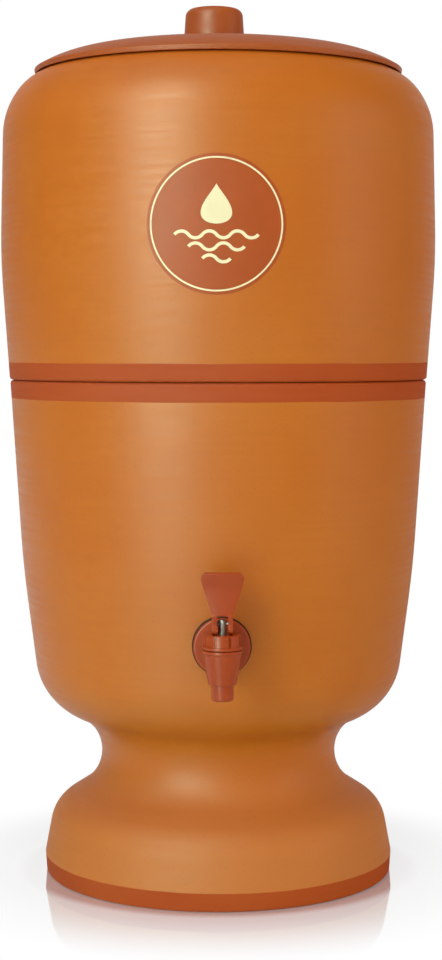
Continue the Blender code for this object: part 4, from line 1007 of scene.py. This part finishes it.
class FILTER_OT_tap_cap(bpy.types.Operator):
    """Turn the cap and cut its notches, for fingers to turn it"""
    bl_idname = "water_filter.tap_cap"
    bl_label = "Tap Cap"

    def execute(self, context):
        sizes = context.scene.filter_tap
        radius, top, edge = sizes.cap
        low = sizes.ring[1] + GAP
        ring_top = low + sizes.cap_ring
        bore, hole = sizes.thread + GAP, sizes.stem + GAP
        cap = turned("tap_cap_moulding", [
            (hole, top, 0), (radius, top, edge), (radius, ring_top, 0),
            (sizes.ring[0], ring_top, sizes.ring[2]), (sizes.ring[0], low, sizes.ring[2]),
            (bore, low, 0), (bore, top - sizes.cap_roof, 0),
            (hole, top - sizes.cap_roof, 0),
        ], VALVE, closed=True)
        notches = []
        for k in range(sizes.notches):
            turn = Matrix.Rotation(2 * math.pi * (k + 0.5) / sizes.notches - math.pi / 2, 4, "Z")
            notches.append(block("notch", 2 * sizes.notch_depth, sizes.notch_width,
                                 2 * (top - ring_top - GAP),
                                 VALVE @ turn @ Matrix.Translation((radius, 0, top))))
        carve(cap, "DIFFERENCE", *notches)
        soften(cap, sizes.soft_edge, 2)
        dress(cap, "lower", "tap_plastic", "tap_plastic", "tap_cap")
        return {"FINISHED"}


class FILTER_OT_tap_stem(bpy.types.Operator):
    """Turn the steel stem and the pin that the lever tips on"""
    bl_idname = "water_filter.tap_stem"
    bl_label = "Tap Stem"

    def execute(self, context):
        sizes = context.scene.filter_tap
        low, high = low_of("tap_stem").z - TAP_Z, high_of("tap_stem").z - TAP_Z
        reach, across = high_of("lever_pin").x, LEVER @ FACING_RIGHT
        stem = rod("tap_stem_rod", sizes.stem, low, high, VALVE, ROD_TURN, SMALL_EDGE)
        carve(stem, "DIFFERENCE", rod("hole", sizes.pin + GAP, -reach, reach, across, BORE_TURN))
        pin = rod("lever_pin_rod", sizes.pin, -reach, reach, across, PIN_TURN, FINE_EDGE)
        dress(stem, "stem", "stem_steel", "steel", "tap_stem")
        dress(pin, "stem", "pin_steel", "steel", "lever_pin")
        return {"FINISHED"}


class FILTER_OT_tap_lever(bpy.types.Operator):
    """Shape the lever from its front view and its side view, and cut its slot and its pin's hole"""
    bl_idname = "water_filter.tap_lever"
    bl_label = "Tap Lever"

    def heel(self, sizes):
        """The heel as (back, up), toe first.

        It rolls on the cap's flat top, which has to lie heel + lift * tilt below the pin at each tilt, so the
        curve is an involute.
        """
        corners = []
        for k in range(HEEL_STEPS, -1, -1):
            tilt = sizes.roll * k / HEEL_STEPS
            depth = sizes.heel + sizes.lift * tilt
            corners.append((-sizes.lift * math.cos(tilt) - depth * math.sin(tilt),
                            sizes.lift * math.sin(tilt) - depth * math.cos(tilt), 0))
        return corners

    def execute(self, context):
        sizes = context.scene.filter_lever
        leg, half, lean, back = sizes.slot / 2 + sizes.leg, sizes.thickness / 2, sizes.lean, sizes.heel_back
        far, slot, slot_top = sizes.height, sizes.slot / 2, sizes.slot_top
        right = [(leg, -far, 0), (leg, slot_top, sizes.leg_bend),
                 (sizes.middle_width / 2, sizes.middle_height, sizes.flare_bend),
                 (sizes.top_width / 2, far, sizes.corner)]
        left = [(-across, up, fillet) for across, up, fillet in reversed(right)]
        toe = self.heel(sizes)
        side = toe + [
            (back, -sizes.heel, FINE_EDGE), (back, slot_top, sizes.leg_bend),
            (half + half - lean, sizes.middle_height, sizes.flare_bend),
            (half - lean, far, sizes.top_edge), (-half - lean, far, sizes.top_edge),
            (-lean, sizes.middle_height, sizes.flare_bend), (-back, slot_top, sizes.leg_bend),
            (toe[0][0], 0, sizes.toe),
        ]
        between_legs = [(-slot, -far, 0), (slot, -far, 0), (slot, slot_top, sizes.slot_corner),
                        (-slot, slot_top, sizes.slot_corner)]
        facing_back = Matrix.Rotation(math.pi / 2, 4, "Z")
        lever = raised("tap_lever_moulding", right + left, -far, far, LEVER)
        carve(lever, "INTERSECT", raised("side", side, -far, far, LEVER @ facing_back))
        hole = context.scene.filter_tap.pin + GAP
        carve(lever, "DIFFERENCE", raised("slot", between_legs, -2 * far, 2 * far, LEVER),
              rod("hole", hole, -far, far, LEVER @ FACING_RIGHT, BORE_TURN))
        soften(lever, sizes.edge)
        dress(lever, "lever", "tap_plastic", "tap_plastic", "tap_lever")
        return {"FINISHED"}


class FILTER_OT_tap_seals(bpy.types.Operator):
    """Cut two gaskets to the bowl's wall, and shape the nut that draws them tight"""
    bl_idname = "water_filter.tap_seals"
    bl_label = "Tap Gaskets and Nut"

    def wall_room(self, sizes):
        """The bowl's wall, grown by the gap on both sides."""
        bowl = lower_outline(sizes)[:4]
        outer, inner = inset(bowl, -GAP), inset(bowl, sizes.wall + GAP)
        (a, b, c), (d, e, f) = outer[:3], inner[:3]
        corners = [(*f[:2], 0), e, (*d[:2], 0), (*a[:2], 0), b, (*c[:2], 0)]
        return turned("wall_room", corners, VESSEL, CLAY_TURN, closed=True)

    def execute(self, context):
        sizes, tap, vessel = context.scene.filter_seals, context.scene.filter_tap, context.scene.filter_lower
        hole = tap.tail + GAP
        flange = AXIS_Y - low_of("tap_outer_gasket").y
        nut_low, nut_high = AXIS_Y - high_of("tap_nut").y, AXIS_Y - low_of("tap_nut").y
        middle = AXIS_Y - low_of("tap_inner_gasket").y + vessel.wall / 2
        for node, radius, low, high in (("tap_outer_gasket", sizes.outer_gasket, middle, flange),
                                        ("tap_inner_gasket", sizes.inner_gasket, nut_high + GAP, middle)):
            gasket = washer(f"{node}_ring", hole, radius, low, high, sizes.gasket_edge, FINE_TURN, TAIL)
            carve(gasket, "DIFFERENCE", self.wall_room(vessel))
            dress(gasket, "lower", "rubber", "rubber", node)
        turns = [-math.pi * (2 * k + 1) / 6 for k in range(6)]
        hexagon = [(sizes.nut * math.cos(turn), sizes.nut * math.sin(turn), sizes.nut_corner)
                   for turn in turns]
        # The hexagon stands past both ends of the rounds, as ends that coincide can break the carving
        nut = raised("tap_hex_nut", hexagon, -nut_high - CUT_PAST, CUT_PAST - nut_low,
                     Matrix.Translation((0, AXIS_Y, TAP_Z)))
        drop_off = (sizes.nut - sizes.nut_chamfer) / 2
        rounds = [(0, nut_high, 0), (sizes.nut_chamfer, nut_high, 0), (sizes.nut, nut_high - drop_off, 0),
                  (sizes.nut, nut_low + drop_off, 0), (sizes.nut_chamfer, nut_low, 0), (0, nut_low, 0)]
        carve(nut, "INTERSECT", turned("rounds", rounds, TAIL, FINE_TURN))
        carve(nut, "DIFFERENCE", rod("thread", hole, 0, flange, TAIL))
        soften(nut, FINE_EDGE, 2)
        dress(nut, "lower", "white_plastic", "white_plastic", "tap_nut")
        return {"FINISHED"}


# Candle

class FILTER_OT_candle(bpy.types.Operator):
    """Turn the ceramic shell and its plastic base with the threaded stem"""
    bl_idname = "water_filter.candle"
    bl_label = "Filter Candle"

    def execute(self, context):
        sizes = context.scene.filter_candle
        low, high = low_of("candle_shell").z, high_of("candle_shell").z
        inner = sizes.radius - sizes.wall
        shell = turned("candle_dome", [
            (0, high, 0), (sizes.radius, high, sizes.dome), (sizes.radius, low, SMALL_EDGE), (inner, low, 0),
            (inner, high - sizes.wall, sizes.dome - sizes.wall), (0, high - sizes.wall, 0),
        ], VESSEL, FINE_TURN)
        dress(shell, "upper", "candle_ceramic", "ceramic", "candle_shell")
        end, lip = low_of("candle_base").z, high_of("candle_base").z
        bottom = lip - sizes.base_lip
        floor = bottom + sizes.base_floor
        holder, core = sizes.radius + GAP, sizes.stem - sizes.thread_depth
        base = turned("candle_foot", [
            (sizes.bore, floor, 0), (holder, floor, 0), (holder, lip, FINE_EDGE),
            (sizes.base, lip, SMALL_EDGE), (sizes.base, bottom, sizes.base_edge),
            (core, bottom, SMALL_EDGE), (core, end, SMALL_EDGE), (sizes.bore, end, 0),
        ], VESSEL, FINE_TURN, closed=True)
        ridge = screw("ridge", sizes.stem, sizes.thread_depth, sizes.pitch, end + sizes.pitch, bottom, VESSEL)
        carve(base, "UNION", ridge)
        dress(base, "upper", "white_plastic", "white_plastic", "candle_base")
        return {"FINISHED"}


class FILTER_OT_candle_fixings(bpy.types.Operator):
    """Turn the gasket and the washer, and shape the wing nut"""
    bl_idname = "water_filter.candle_fixings"
    bl_label = "Candle Fixings"

    def execute(self, context):
        sizes = context.scene.filter_candle
        hole = sizes.stem + GAP
        for node, radius in (("candle_gasket", sizes.gasket), ("candle_washer", sizes.washer)):
            seal = washer(f"{node}_ring", hole, radius, low_of(node).z, high_of(node).z, SMALL_EDGE)
            dress(seal, "upper", "rubber", "rubber", node)
        low, high = low_of("candle_nut").z, high_of("candle_nut").z
        tip, half = sizes.wing_span / 2, sizes.wing_thickness / 2
        bottom, top = low + sizes.wing_drop, high - sizes.wing_drop
        wings = [(x, z, sizes.wing_fillet)
                 for x, z in ((-tip, bottom), (tip, bottom), (tip, top), (-tip, top))]
        nut = rod("candle_wing_nut", sizes.nut, low, high, VESSEL, edge=SMALL_EDGE)
        carve(nut, "UNION", raised("wings", wings, -half, half, VESSEL))
        carve(nut, "DIFFERENCE", rod("thread", hole, low - CUT_PAST, high + CUT_PAST, VESSEL))
        soften(nut, SMALL_EDGE)
        dress(nut, "upper", "white_plastic", "white_plastic", "candle_nut")
        return {"FINISHED"}


# Float valve

def float_place(sizes, across=0.0):
    """Where the float's level drawing goes: hung down about its pin."""
    hang = Matrix.Rotation(-sizes.swing, 4, "Y")
    return Matrix.Translation(FLOAT_PIVOT) @ hang @ Matrix.Translation((across, 0, 0))


class FILTER_OT_float_valve(bpy.types.Operator):
    """Turn the valve's body, add its ears, bore it, and make the pin"""
    bl_idname = "water_filter.float_valve"
    bl_label = "Float Valve"

    def execute(self, context):
        sizes, candle = context.scene.filter_float, context.scene.filter_candle
        end = FLOAT_PIVOT.z + sizes.pad_proud + sizes.arm_thickness / 2 + GAP
        top = high_of("float_valve_body").z
        bottom = top - sizes.body_height
        body = turned("float_valve_moulding", [
            (0, top, 0), (sizes.body, top, SMALL_EDGE), (sizes.body, bottom, SMALL_EDGE),
            (sizes.nozzle, bottom, FINE_EDGE), (sizes.nozzle, end, FINE_EDGE), (0, end, 0),
        ], VESSEL)
        ear, x, z = sizes.ear, FLOAT_PIVOT.x, FLOAT_PIVOT.z
        high, inner = bottom + sizes.body_height / 2, sizes.arm_width / 2 + GAP
        outer = inner + sizes.ear_thickness
        flap = [(0, bottom + (bottom - end), 0), (x - ear, z - ear, ear),
                (x + ear, z - ear, ear * NEARLY_ALL), (x + ear, high, ear), (0, high, 0)]
        carve(body, "UNION", *(raised("ear", flap, low, low + sizes.ear_thickness, VESSEL)
                               for low in (-outer, inner)))
        pin_place = Matrix.Translation(FLOAT_PIVOT) @ FACING_FRONT
        carve(body, "DIFFERENCE",
              rod("socket", candle.stem + GAP, top - sizes.socket, top + CUT_PAST, VESSEL),
              rod("bore", sizes.nozzle_bore, end - CUT_PAST, top, VESSEL, BORE_TURN),
              rod("pin_hole", sizes.pin + GAP, -CUT_PAST, CUT_PAST, pin_place, PIN_TURN))
        soften(body, FINE_EDGE, 2)
        dress(body, "upper", "white_plastic", "white_plastic", "float_valve_body")
        pin = rod("float_pin_rod", sizes.pin, -outer, outer, pin_place, PIN_TURN, FINE_EDGE)
        dress(pin, "upper", "pin_steel", "steel", "float_pin")
        return {"FINISHED"}


class FILTER_OT_float_arm(bpy.types.Operator):
    """Shape the arm with its knuckle and its eye, and turn the rubber pad that shuts the nozzle"""
    bl_idname = "water_filter.float_arm"
    bl_label = "Float Arm"

    def execute(self, context):
        sizes = context.scene.filter_float
        half, face, neck = sizes.arm_width / 2, sizes.arm_thickness / 2, sizes.stud / 2
        knuckle_place = float_place(sizes) @ FACING_FRONT
        eye_place, pad_place = float_place(sizes, -sizes.reach), float_place(sizes, -FLOAT_PIVOT.x)
        arm = rod("float_arm_moulding", sizes.eye, -face, face, eye_place, edge=FINE_EDGE)
        bar = block("bar", sizes.reach, sizes.arm_width - 2 * GAP, sizes.arm_thickness - GAP,
                    float_place(sizes, -sizes.reach / 2))
        knuckle = rod("knuckle", sizes.ear - GAP, -half, half, knuckle_place, ROD_TURN, FINE_EDGE)
        carve(arm, "UNION", bar)
        carve(arm, "UNION", knuckle)
        carve(arm, "DIFFERENCE", rod("stud_hole", sizes.stud + GAP, -half, half, eye_place, ROD_TURN),
              rod("pad_hole", neck + GAP, -half, half, pad_place, PIN_TURN),
              rod("pin_hole", sizes.pin + GAP, -2 * half, 2 * half, knuckle_place, PIN_TURN))
        soften(arm, FINE_EDGE, 2)
        dress(arm, "float", "white_plastic", "white_plastic", "float_arm")
        top, low = face + sizes.pad_proud, -face - GAP
        pad = turned("float_pad_rubber", [
            (0, top, 0), (sizes.pad, top, FINE_EDGE), (sizes.pad, face + GAP, 0), (neck, face + GAP, 0),
            (neck, low, 0), (sizes.stud, low, 0), (sizes.stud, low - sizes.stud_head_height, SMALL_EDGE),
            (0, low - sizes.stud_head_height, 0),
        ], pad_place, ROD_TURN)
        dress(pad, "float", "rubber", "rubber", "float_pad")
        return {"FINISHED"}


class FILTER_OT_float(bpy.types.Operator):
    """Turn the float's two halves, which lap at their seam"""
    bl_idname = "water_filter.float"
    bl_label = "Float"

    def execute(self, context):
        sizes = context.scene.filter_float
        place = float_place(sizes, -sizes.reach)
        top, head = -sizes.arm_thickness / 2 - GAP, sizes.arm_thickness / 2 + GAP
        seam, bottom, head_top = top - sizes.height / 2, top - sizes.height, head + sizes.stud_head_height
        radius, wall = sizes.radius, sizes.wall
        inner, inner_round = radius - wall, sizes.rounding - wall
        lap, lap_top = inner - GAP, seam + sizes.lap
        upper = turned("float_upper_half", [
            (0, head_top, 0), (sizes.stud_head, head_top, SMALL_EDGE), (sizes.stud_head, head, 0),
            (sizes.stud, head, 0), (sizes.stud, top, FINE_EDGE), (radius, top, sizes.rounding),
            (radius, seam, FINE_EDGE), (inner, seam, 0), (inner, top - wall, inner_round), (0, top - wall, 0),
        ], place, FINE_TURN)
        lower = turned("float_lower_half", [
            (0, bottom + wall, 0), (lap - wall, bottom + wall, inner_round), (lap - wall, lap_top, 0),
            (lap, lap_top, FINE_EDGE), (lap, seam - GAP, 0), (radius, seam - GAP, FINE_EDGE),
            (radius, bottom, sizes.rounding), (0, bottom, 0),
        ], place, FINE_TURN)
        for piece, node in ((upper, "float_top_shell"), (lower, "float_bottom_shell")):
            dress(piece, "float", "float_plastic", "float_plastic", node)
        return {"FINISHED"}


class FILTER_OT_kept_parts(bpy.types.Operator):
    """Give the frame's own carbon filling and seat cup their finish"""
    bl_idname = "water_filter.kept_parts"
    bl_label = "Carbon and Seat Cup"

    def execute(self, context):
        for node, kind in (("candle_carbon", "carbon"), ("seat_cup", "silicone")):
            materials = frame["nodes"][node].data.materials
            materials.clear()
            materials.append(finish_of(kind))
        return {"FINISHED"}


# Badge

def wrap(piece, clay, proud):
    """Lays a piece drawn flat in the XZ plane round the clay, standing off it by its own depth."""
    tree = BVHTree.FromObject(clay, bpy.context.evaluated_depsgraph_get())
    radius = high_of("upper_vessel").x
    for vert in piece.data.vertices:
        turn = vert.co.x / radius
        outwards = Vector((math.sin(turn), -math.cos(turn), 0))
        start = Vector((0, AXIS_Y, vert.co.z)) + outwards * 2 * radius
        place, normal, _, _ = tree.ray_cast(start, -outwards)
        if place is None:
            raise RuntimeError(f"{piece.name} runs off the clay")
        vert.co = place + normal * (proud if vert.co.y < 0 else -proud)


def slice_up(bm, spacing, reach):
    """Cuts flat faces into upright strips and level rows, so that they can bend."""
    count = math.ceil(reach / spacing)
    for k in range(-count, count + 1):
        for normal in ((1, 0, 0), (0, 0, 1)):
            bmesh.ops.bisect_plane(bm, geom=bm.verts[:] + bm.edges[:] + bm.faces[:], dist=MERGE,
                                   plane_co=Vector(normal) * k * spacing, plane_no=normal)


def sheeted(name, bm, height, depth):
    """Gives flat faces a small depth, and sets them at their height."""
    bmesh.ops.recalc_face_normals(bm, faces=bm.faces[:])
    thickened(bm, -depth)
    return placed(name, bm, Matrix.Translation((0, depth / 2, height)))


def round_band(bm, inner, outer):
    """A flat ring: a short edge spun once round."""
    edge = bm.edges.new((bm.verts.new((inner, 0, 0)), bm.verts.new((outer, 0, 0))))
    bmesh.ops.spin(bm, geom=[*edge.verts, edge], cent=(0, 0, 0), axis=(0, 1, 0), angle=2 * math.pi,
                   steps=FINE_TURN, use_merge=True)


def wave(bm, height, crests, radius, stroke):
    """A wavy stroke: an edge spun up and down along a row of arcs."""
    chord = 2 * radius * math.sin(WAVE_SWEEP / 2)
    rise = Vector((math.sin(WAVE_SWEEP / 2), 0, math.cos(WAVE_SWEEP / 2)))
    left = Vector((-rise.x, 0, rise.z))
    centre = Vector((chord / 2 - crests * chord, 0, height - radius * rise.z))
    edge = bm.edges.new([bm.verts.new(centre + left * (radius + side * stroke / 2)) for side in (-1, 1)])
    for k in range(2 * crests):
        arc = bmesh.ops.spin(bm, geom=[*edge.verts, edge], cent=centre, axis=(0, 1 if k % 2 == 0 else -1, 0),
                             angle=WAVE_SWEEP, steps=WAVE_STEPS)
        edge = only(BMEdge, arc["geom_last"])[0]
        centre = Vector((centre.x + chord, 0, 2 * height - centre.z))


def drop(bm, height, tall):
    """A drop: a round whose points draw together towards the tip."""
    made = bmesh.ops.create_circle(bm, cap_ends=True, segments=DROP_STEPS, radius=tall / 2,
                                   matrix=FACING_FRONT)
    for vert in made["verts"]:
        turn = math.acos(max(-1.0, min(1.0, 2 * vert.co.z / tall)))
        vert.co.x *= DROP_PLUMP * math.sin(turn / 2) ** DROP_TAPER
        vert.co.z += height


class FILTER_OT_badge(bpy.types.Operator):
    """Print a round badge with a drop over waves on the front of the upper vessel"""
    bl_idname = "water_filter.badge"
    bl_label = "Badge"

    def execute(self, context):
        sizes = context.scene.filter_badge
        ground, lines = bmesh.new(), bmesh.new()
        bmesh.ops.create_circle(ground, cap_ends=True, segments=FINE_TURN, radius=sizes.radius,
                                matrix=FACING_FRONT)
        outer = sizes.radius - sizes.margin
        round_band(lines, outer - sizes.ring, outer)
        drop(lines, sizes.drop_rise, sizes.drop)
        for row, crests in enumerate(WAVE_ROWS):
            wave(lines, -sizes.wave_drop - row * sizes.wave_gap, crests, sizes.wave_radius, sizes.stroke)
        for name, bm, depth in (("badge_ground", ground, sizes.proud),
                                ("badge_lines", lines, 2 * sizes.proud)):
            bmesh.ops.translate(bm, verts=bm.verts[:], vec=(sizes.shift, 0, 0))
            bmesh.ops.remove_doubles(bm, verts=bm.verts[:], dist=MERGE)
            slice_up(bm, BEND_STEP, sizes.radius)
            piece = sheeted(name, bm, sizes.height, depth)
            wrap(piece, bpy.data.objects["upper_vessel_clay"], depth)
            dress(piece, "upper", "clay", name)
        return {"FINISHED"}


# Stage

# Name of the lamp and of the setting for its watts, place, size, and whether it only shows in reflections.
# The other lamps only light what they fall on.
LAMPS = (
    ("key", (-0.95, -1.20, 0.95), (0.50, 1.0), False),
    ("strip", (-0.74, -1.30, 0.75), (0.62, 2.0), True),
    ("fill", (1.55, -0.52, 0.50), (0.9, 1.2), False),
    ("front", (0.15, -1.70, 0.25), (1.4, 0.5), False),
    ("top", (-0.40, -0.20, 1.85), (1.5, 1.5), False),
)
FLOOR_REACH = 3.0                    # half the floor's width
FLOOR_SIDE = 0.6                     # how far left or right the floor's reflection has changed fully
FOOTPRINT = (0.94, 1, 0)             # squeezes the shading round the foot sideways
GLOSSY_PATCH = (0.099, 0.187, 0.58)  # from and to which radius the glossy sheet fades out, and its share
CONTACT_PATCH = (0.100, 0.110, 0.28)
ROOM_SIDES = (0.45, 1.05)            # the direction's Y between which the room turns into the backdrop
LOW_BAND = (0.20, 0.25, 0.31, 0.36)  # the direction's Z where a band of the room's reflection begins and ends


class FILTER_OT_stage(bpy.types.Operator):
    """Lay a pale floor and backdrop, and set up soft light and the camera"""
    bl_idname = "water_filter.stage"
    bl_label = "Stage"

    def execute(self, context):
        scene, studio = context.scene, context.scene.filter_studio
        self.floor(studio)
        self.room(scene, studio)
        for lamp in LAMPS:
            self.lamp(scene, studio, *lamp)
        data = bpy.data.cameras.new("camera")
        data.lens = studio.lens
        data.sensor_width = 36.0
        data.shift_x, data.shift_y = studio.shift_x, studio.shift_y
        data.clip_start, data.clip_end = 0.05, 20.0
        camera = bpy.data.objects.new("camera", data)
        camera.location = (-studio.distance * math.sin(studio.azimuth),
                           AXIS_Y - studio.distance * math.cos(studio.azimuth), studio.eye)
        camera.rotation_euler = (math.pi / 2, 0, -studio.azimuth)
        scene.collection.objects.link(camera)
        scene.camera = camera
        scene.view_settings.view_transform = "Standard"
        return {"FINISHED"}

    def lamp(self, scene, studio, name, place, size, shines):
        data = bpy.data.lights.new(f"{name}_light", "AREA")
        data.shape = "RECTANGLE"
        data.size, data.size_y = size
        data.energy = getattr(studio, name)
        if shines:
            data.color = studio.shine
        lamp = bpy.data.objects.new(f"{name}_light", data)
        lamp.visible_diffuse, lamp.visible_glossy = not shines, shines
        lamp.location = place
        aim = Vector((0, AXIS_Y, RIM_Z)) - Vector(place)
        lamp.rotation_euler = aim.to_track_quat("-Z", "Y").to_euler()
        scene.collection.objects.link(lamp)

    def floor(self, studio):
        """A white sheet, glossy round the foot. In reflections it is brighter on the key light's side."""
        bm = bmesh.new()
        bmesh.ops.create_grid(bm, x_segments=1, y_segments=1, size=FLOOR_REACH)
        sheet = placed("floor", bm)
        made, tree, shader, spot = blank("white_sheet", Base_Color=(0.92, 0.92, 0.92), IOR=1.45,
                                         Roughness=0.06, Metallic=0.8)
        flat = put(tree, "ShaderNodeVectorMath", {0: spot, 1: FOOTPRINT}, operation="MULTIPLY").outputs[0]
        radius = put(tree, "ShaderNodeVectorMath", {0: flat}, operation="LENGTH").outputs["Value"]
        light = put(tree, "ShaderNodeLightPath").outputs
        direct = calc(tree, "MAXIMUM", light["Is Camera Ray"], light["Is Transmission Ray"])
        seen = calc(tree, "MAXIMUM", direct, light["Is Glossy Ray"])
        sideways = fade(tree, parts_of(tree, spot)["X"], -FLOOR_SIDE, FLOOR_SIDE, studio.floor_left,
                        studio.floor_right)
        strength = calc(tree, "MAXIMUM", direct, calc(tree, "MULTIPLY", light["Is Glossy Ray"], sideways))
        glow = put(tree, "ShaderNodeEmission", {"Color": (1, 1, 1), "Strength": strength})
        near = calc(tree, "ADD", fade(tree, radius, *GLOSSY_PATCH, 0.0),
                    fade(tree, radius, *CONTACT_PATCH, 0.0))
        share = calc(tree, "MULTIPLY", seen, calc(tree, "SUBTRACT", 1.0, near))
        mix = put(tree, "ShaderNodeMixShader", {0: share, 1: shader.outputs[0], 2: glow.outputs[0]})
        fill(tree, tree.nodes["Material Output"], {"Surface": mix.outputs[0]})
        sheet.data.materials.append(made)

    def room(self, scene, studio):
        """A white backdrop, and a darker room behind the camera."""
        world = bpy.data.worlds.new("white_room")
        world.use_nodes = True
        scene.world = world
        tree = world.node_tree
        direction = parts_of(tree, put(tree, "ShaderNodeTexCoord").outputs["Generated"])
        lit = fade(tree, direction["Y"], *ROOM_SIDES, studio.room_front, 1.0)
        light = put(tree, "ShaderNodeLightPath").outputs
        low_band = calc(tree, "MULTIPLY", fade(tree, direction["Z"], *LOW_BAND[:2]),
                        fade(tree, direction["Z"], *LOW_BAND[2:], 1.0, 0.0))
        dimmed = calc(tree, "MAXIMUM", low_band, studio.room_shine)
        not_glossy = calc(tree, "SUBTRACT", 1.0, light["Is Glossy Ray"])
        lit = calc(tree, "MULTIPLY", lit, calc(tree, "MAXIMUM", dimmed, not_glossy))
        seen = calc(tree, "MAXIMUM", light["Is Camera Ray"], light["Is Transmission Ray"])
        strength = calc(tree, "MAXIMUM", lit, seen)
        fill(tree, tree.nodes["Background"], {"Color": (1, 1, 1), "Strength": strength})


class FILTER_PT_panel(bpy.types.Panel):
    """Lists the steps in their order"""
    bl_label = "Water Filter"
    bl_idname = "FILTER_PT_panel"
    bl_space_type = "VIEW_3D"
    bl_region_type = "UI"
    bl_category = "Water Filter"

    def draw(self, context):
        for step in STEPS:
            self.layout.operator(step.bl_idname)


SETTINGS = {
    "filter_lower": LowerVesselSizes,
    "filter_upper": UpperVesselSizes,
    "filter_lid": LidSizes,
    "filter_tap": TapSizes,
    "filter_lever": LeverSizes,
    "filter_seals": SealSizes,
    "filter_candle": CandleSizes,
    "filter_float": FloatSizes,
    "filter_badge": BadgeSizes,
    "filter_looks": FinishLooks,
    "filter_studio": StudioSettings,
}
STEPS = (
    FILTER_OT_lower_vessel,
    FILTER_OT_upper_vessel,
    FILTER_OT_lid,
    FILTER_OT_badge,
    FILTER_OT_tap_body,
    FILTER_OT_tap_cap,
    FILTER_OT_tap_stem,
    FILTER_OT_tap_lever,
    FILTER_OT_tap_seals,
    FILTER_OT_candle,
    FILTER_OT_candle_fixings,
    FILTER_OT_float_valve,
    FILTER_OT_float_arm,
    FILTER_OT_float,
    FILTER_OT_kept_parts,
    FILTER_OT_stage,
)


def register():
    for group in SETTINGS.values():
        bpy.utils.register_class(group)
    for name, group in SETTINGS.items():
        setattr(bpy.types.Scene, name, bpy.props.PointerProperty(type=group))
    for step in STEPS:
        bpy.utils.register_class(step)
    bpy.utils.register_class(FILTER_PT_panel)


def unregister():
    bpy.utils.unregister_class(FILTER_PT_panel)
    for step in reversed(STEPS):
        bpy.utils.unregister_class(step)
    for name, group in reversed(SETTINGS.items()):
        delattr(bpy.types.Scene, name)
        bpy.utils.unregister_class(group)


def main():
    register()
    for step in STEPS:
        family, name = step.bl_idname.split(".")
        getattr(getattr(bpy.ops, family), name)()


if __name__ == "__main__":
    main()
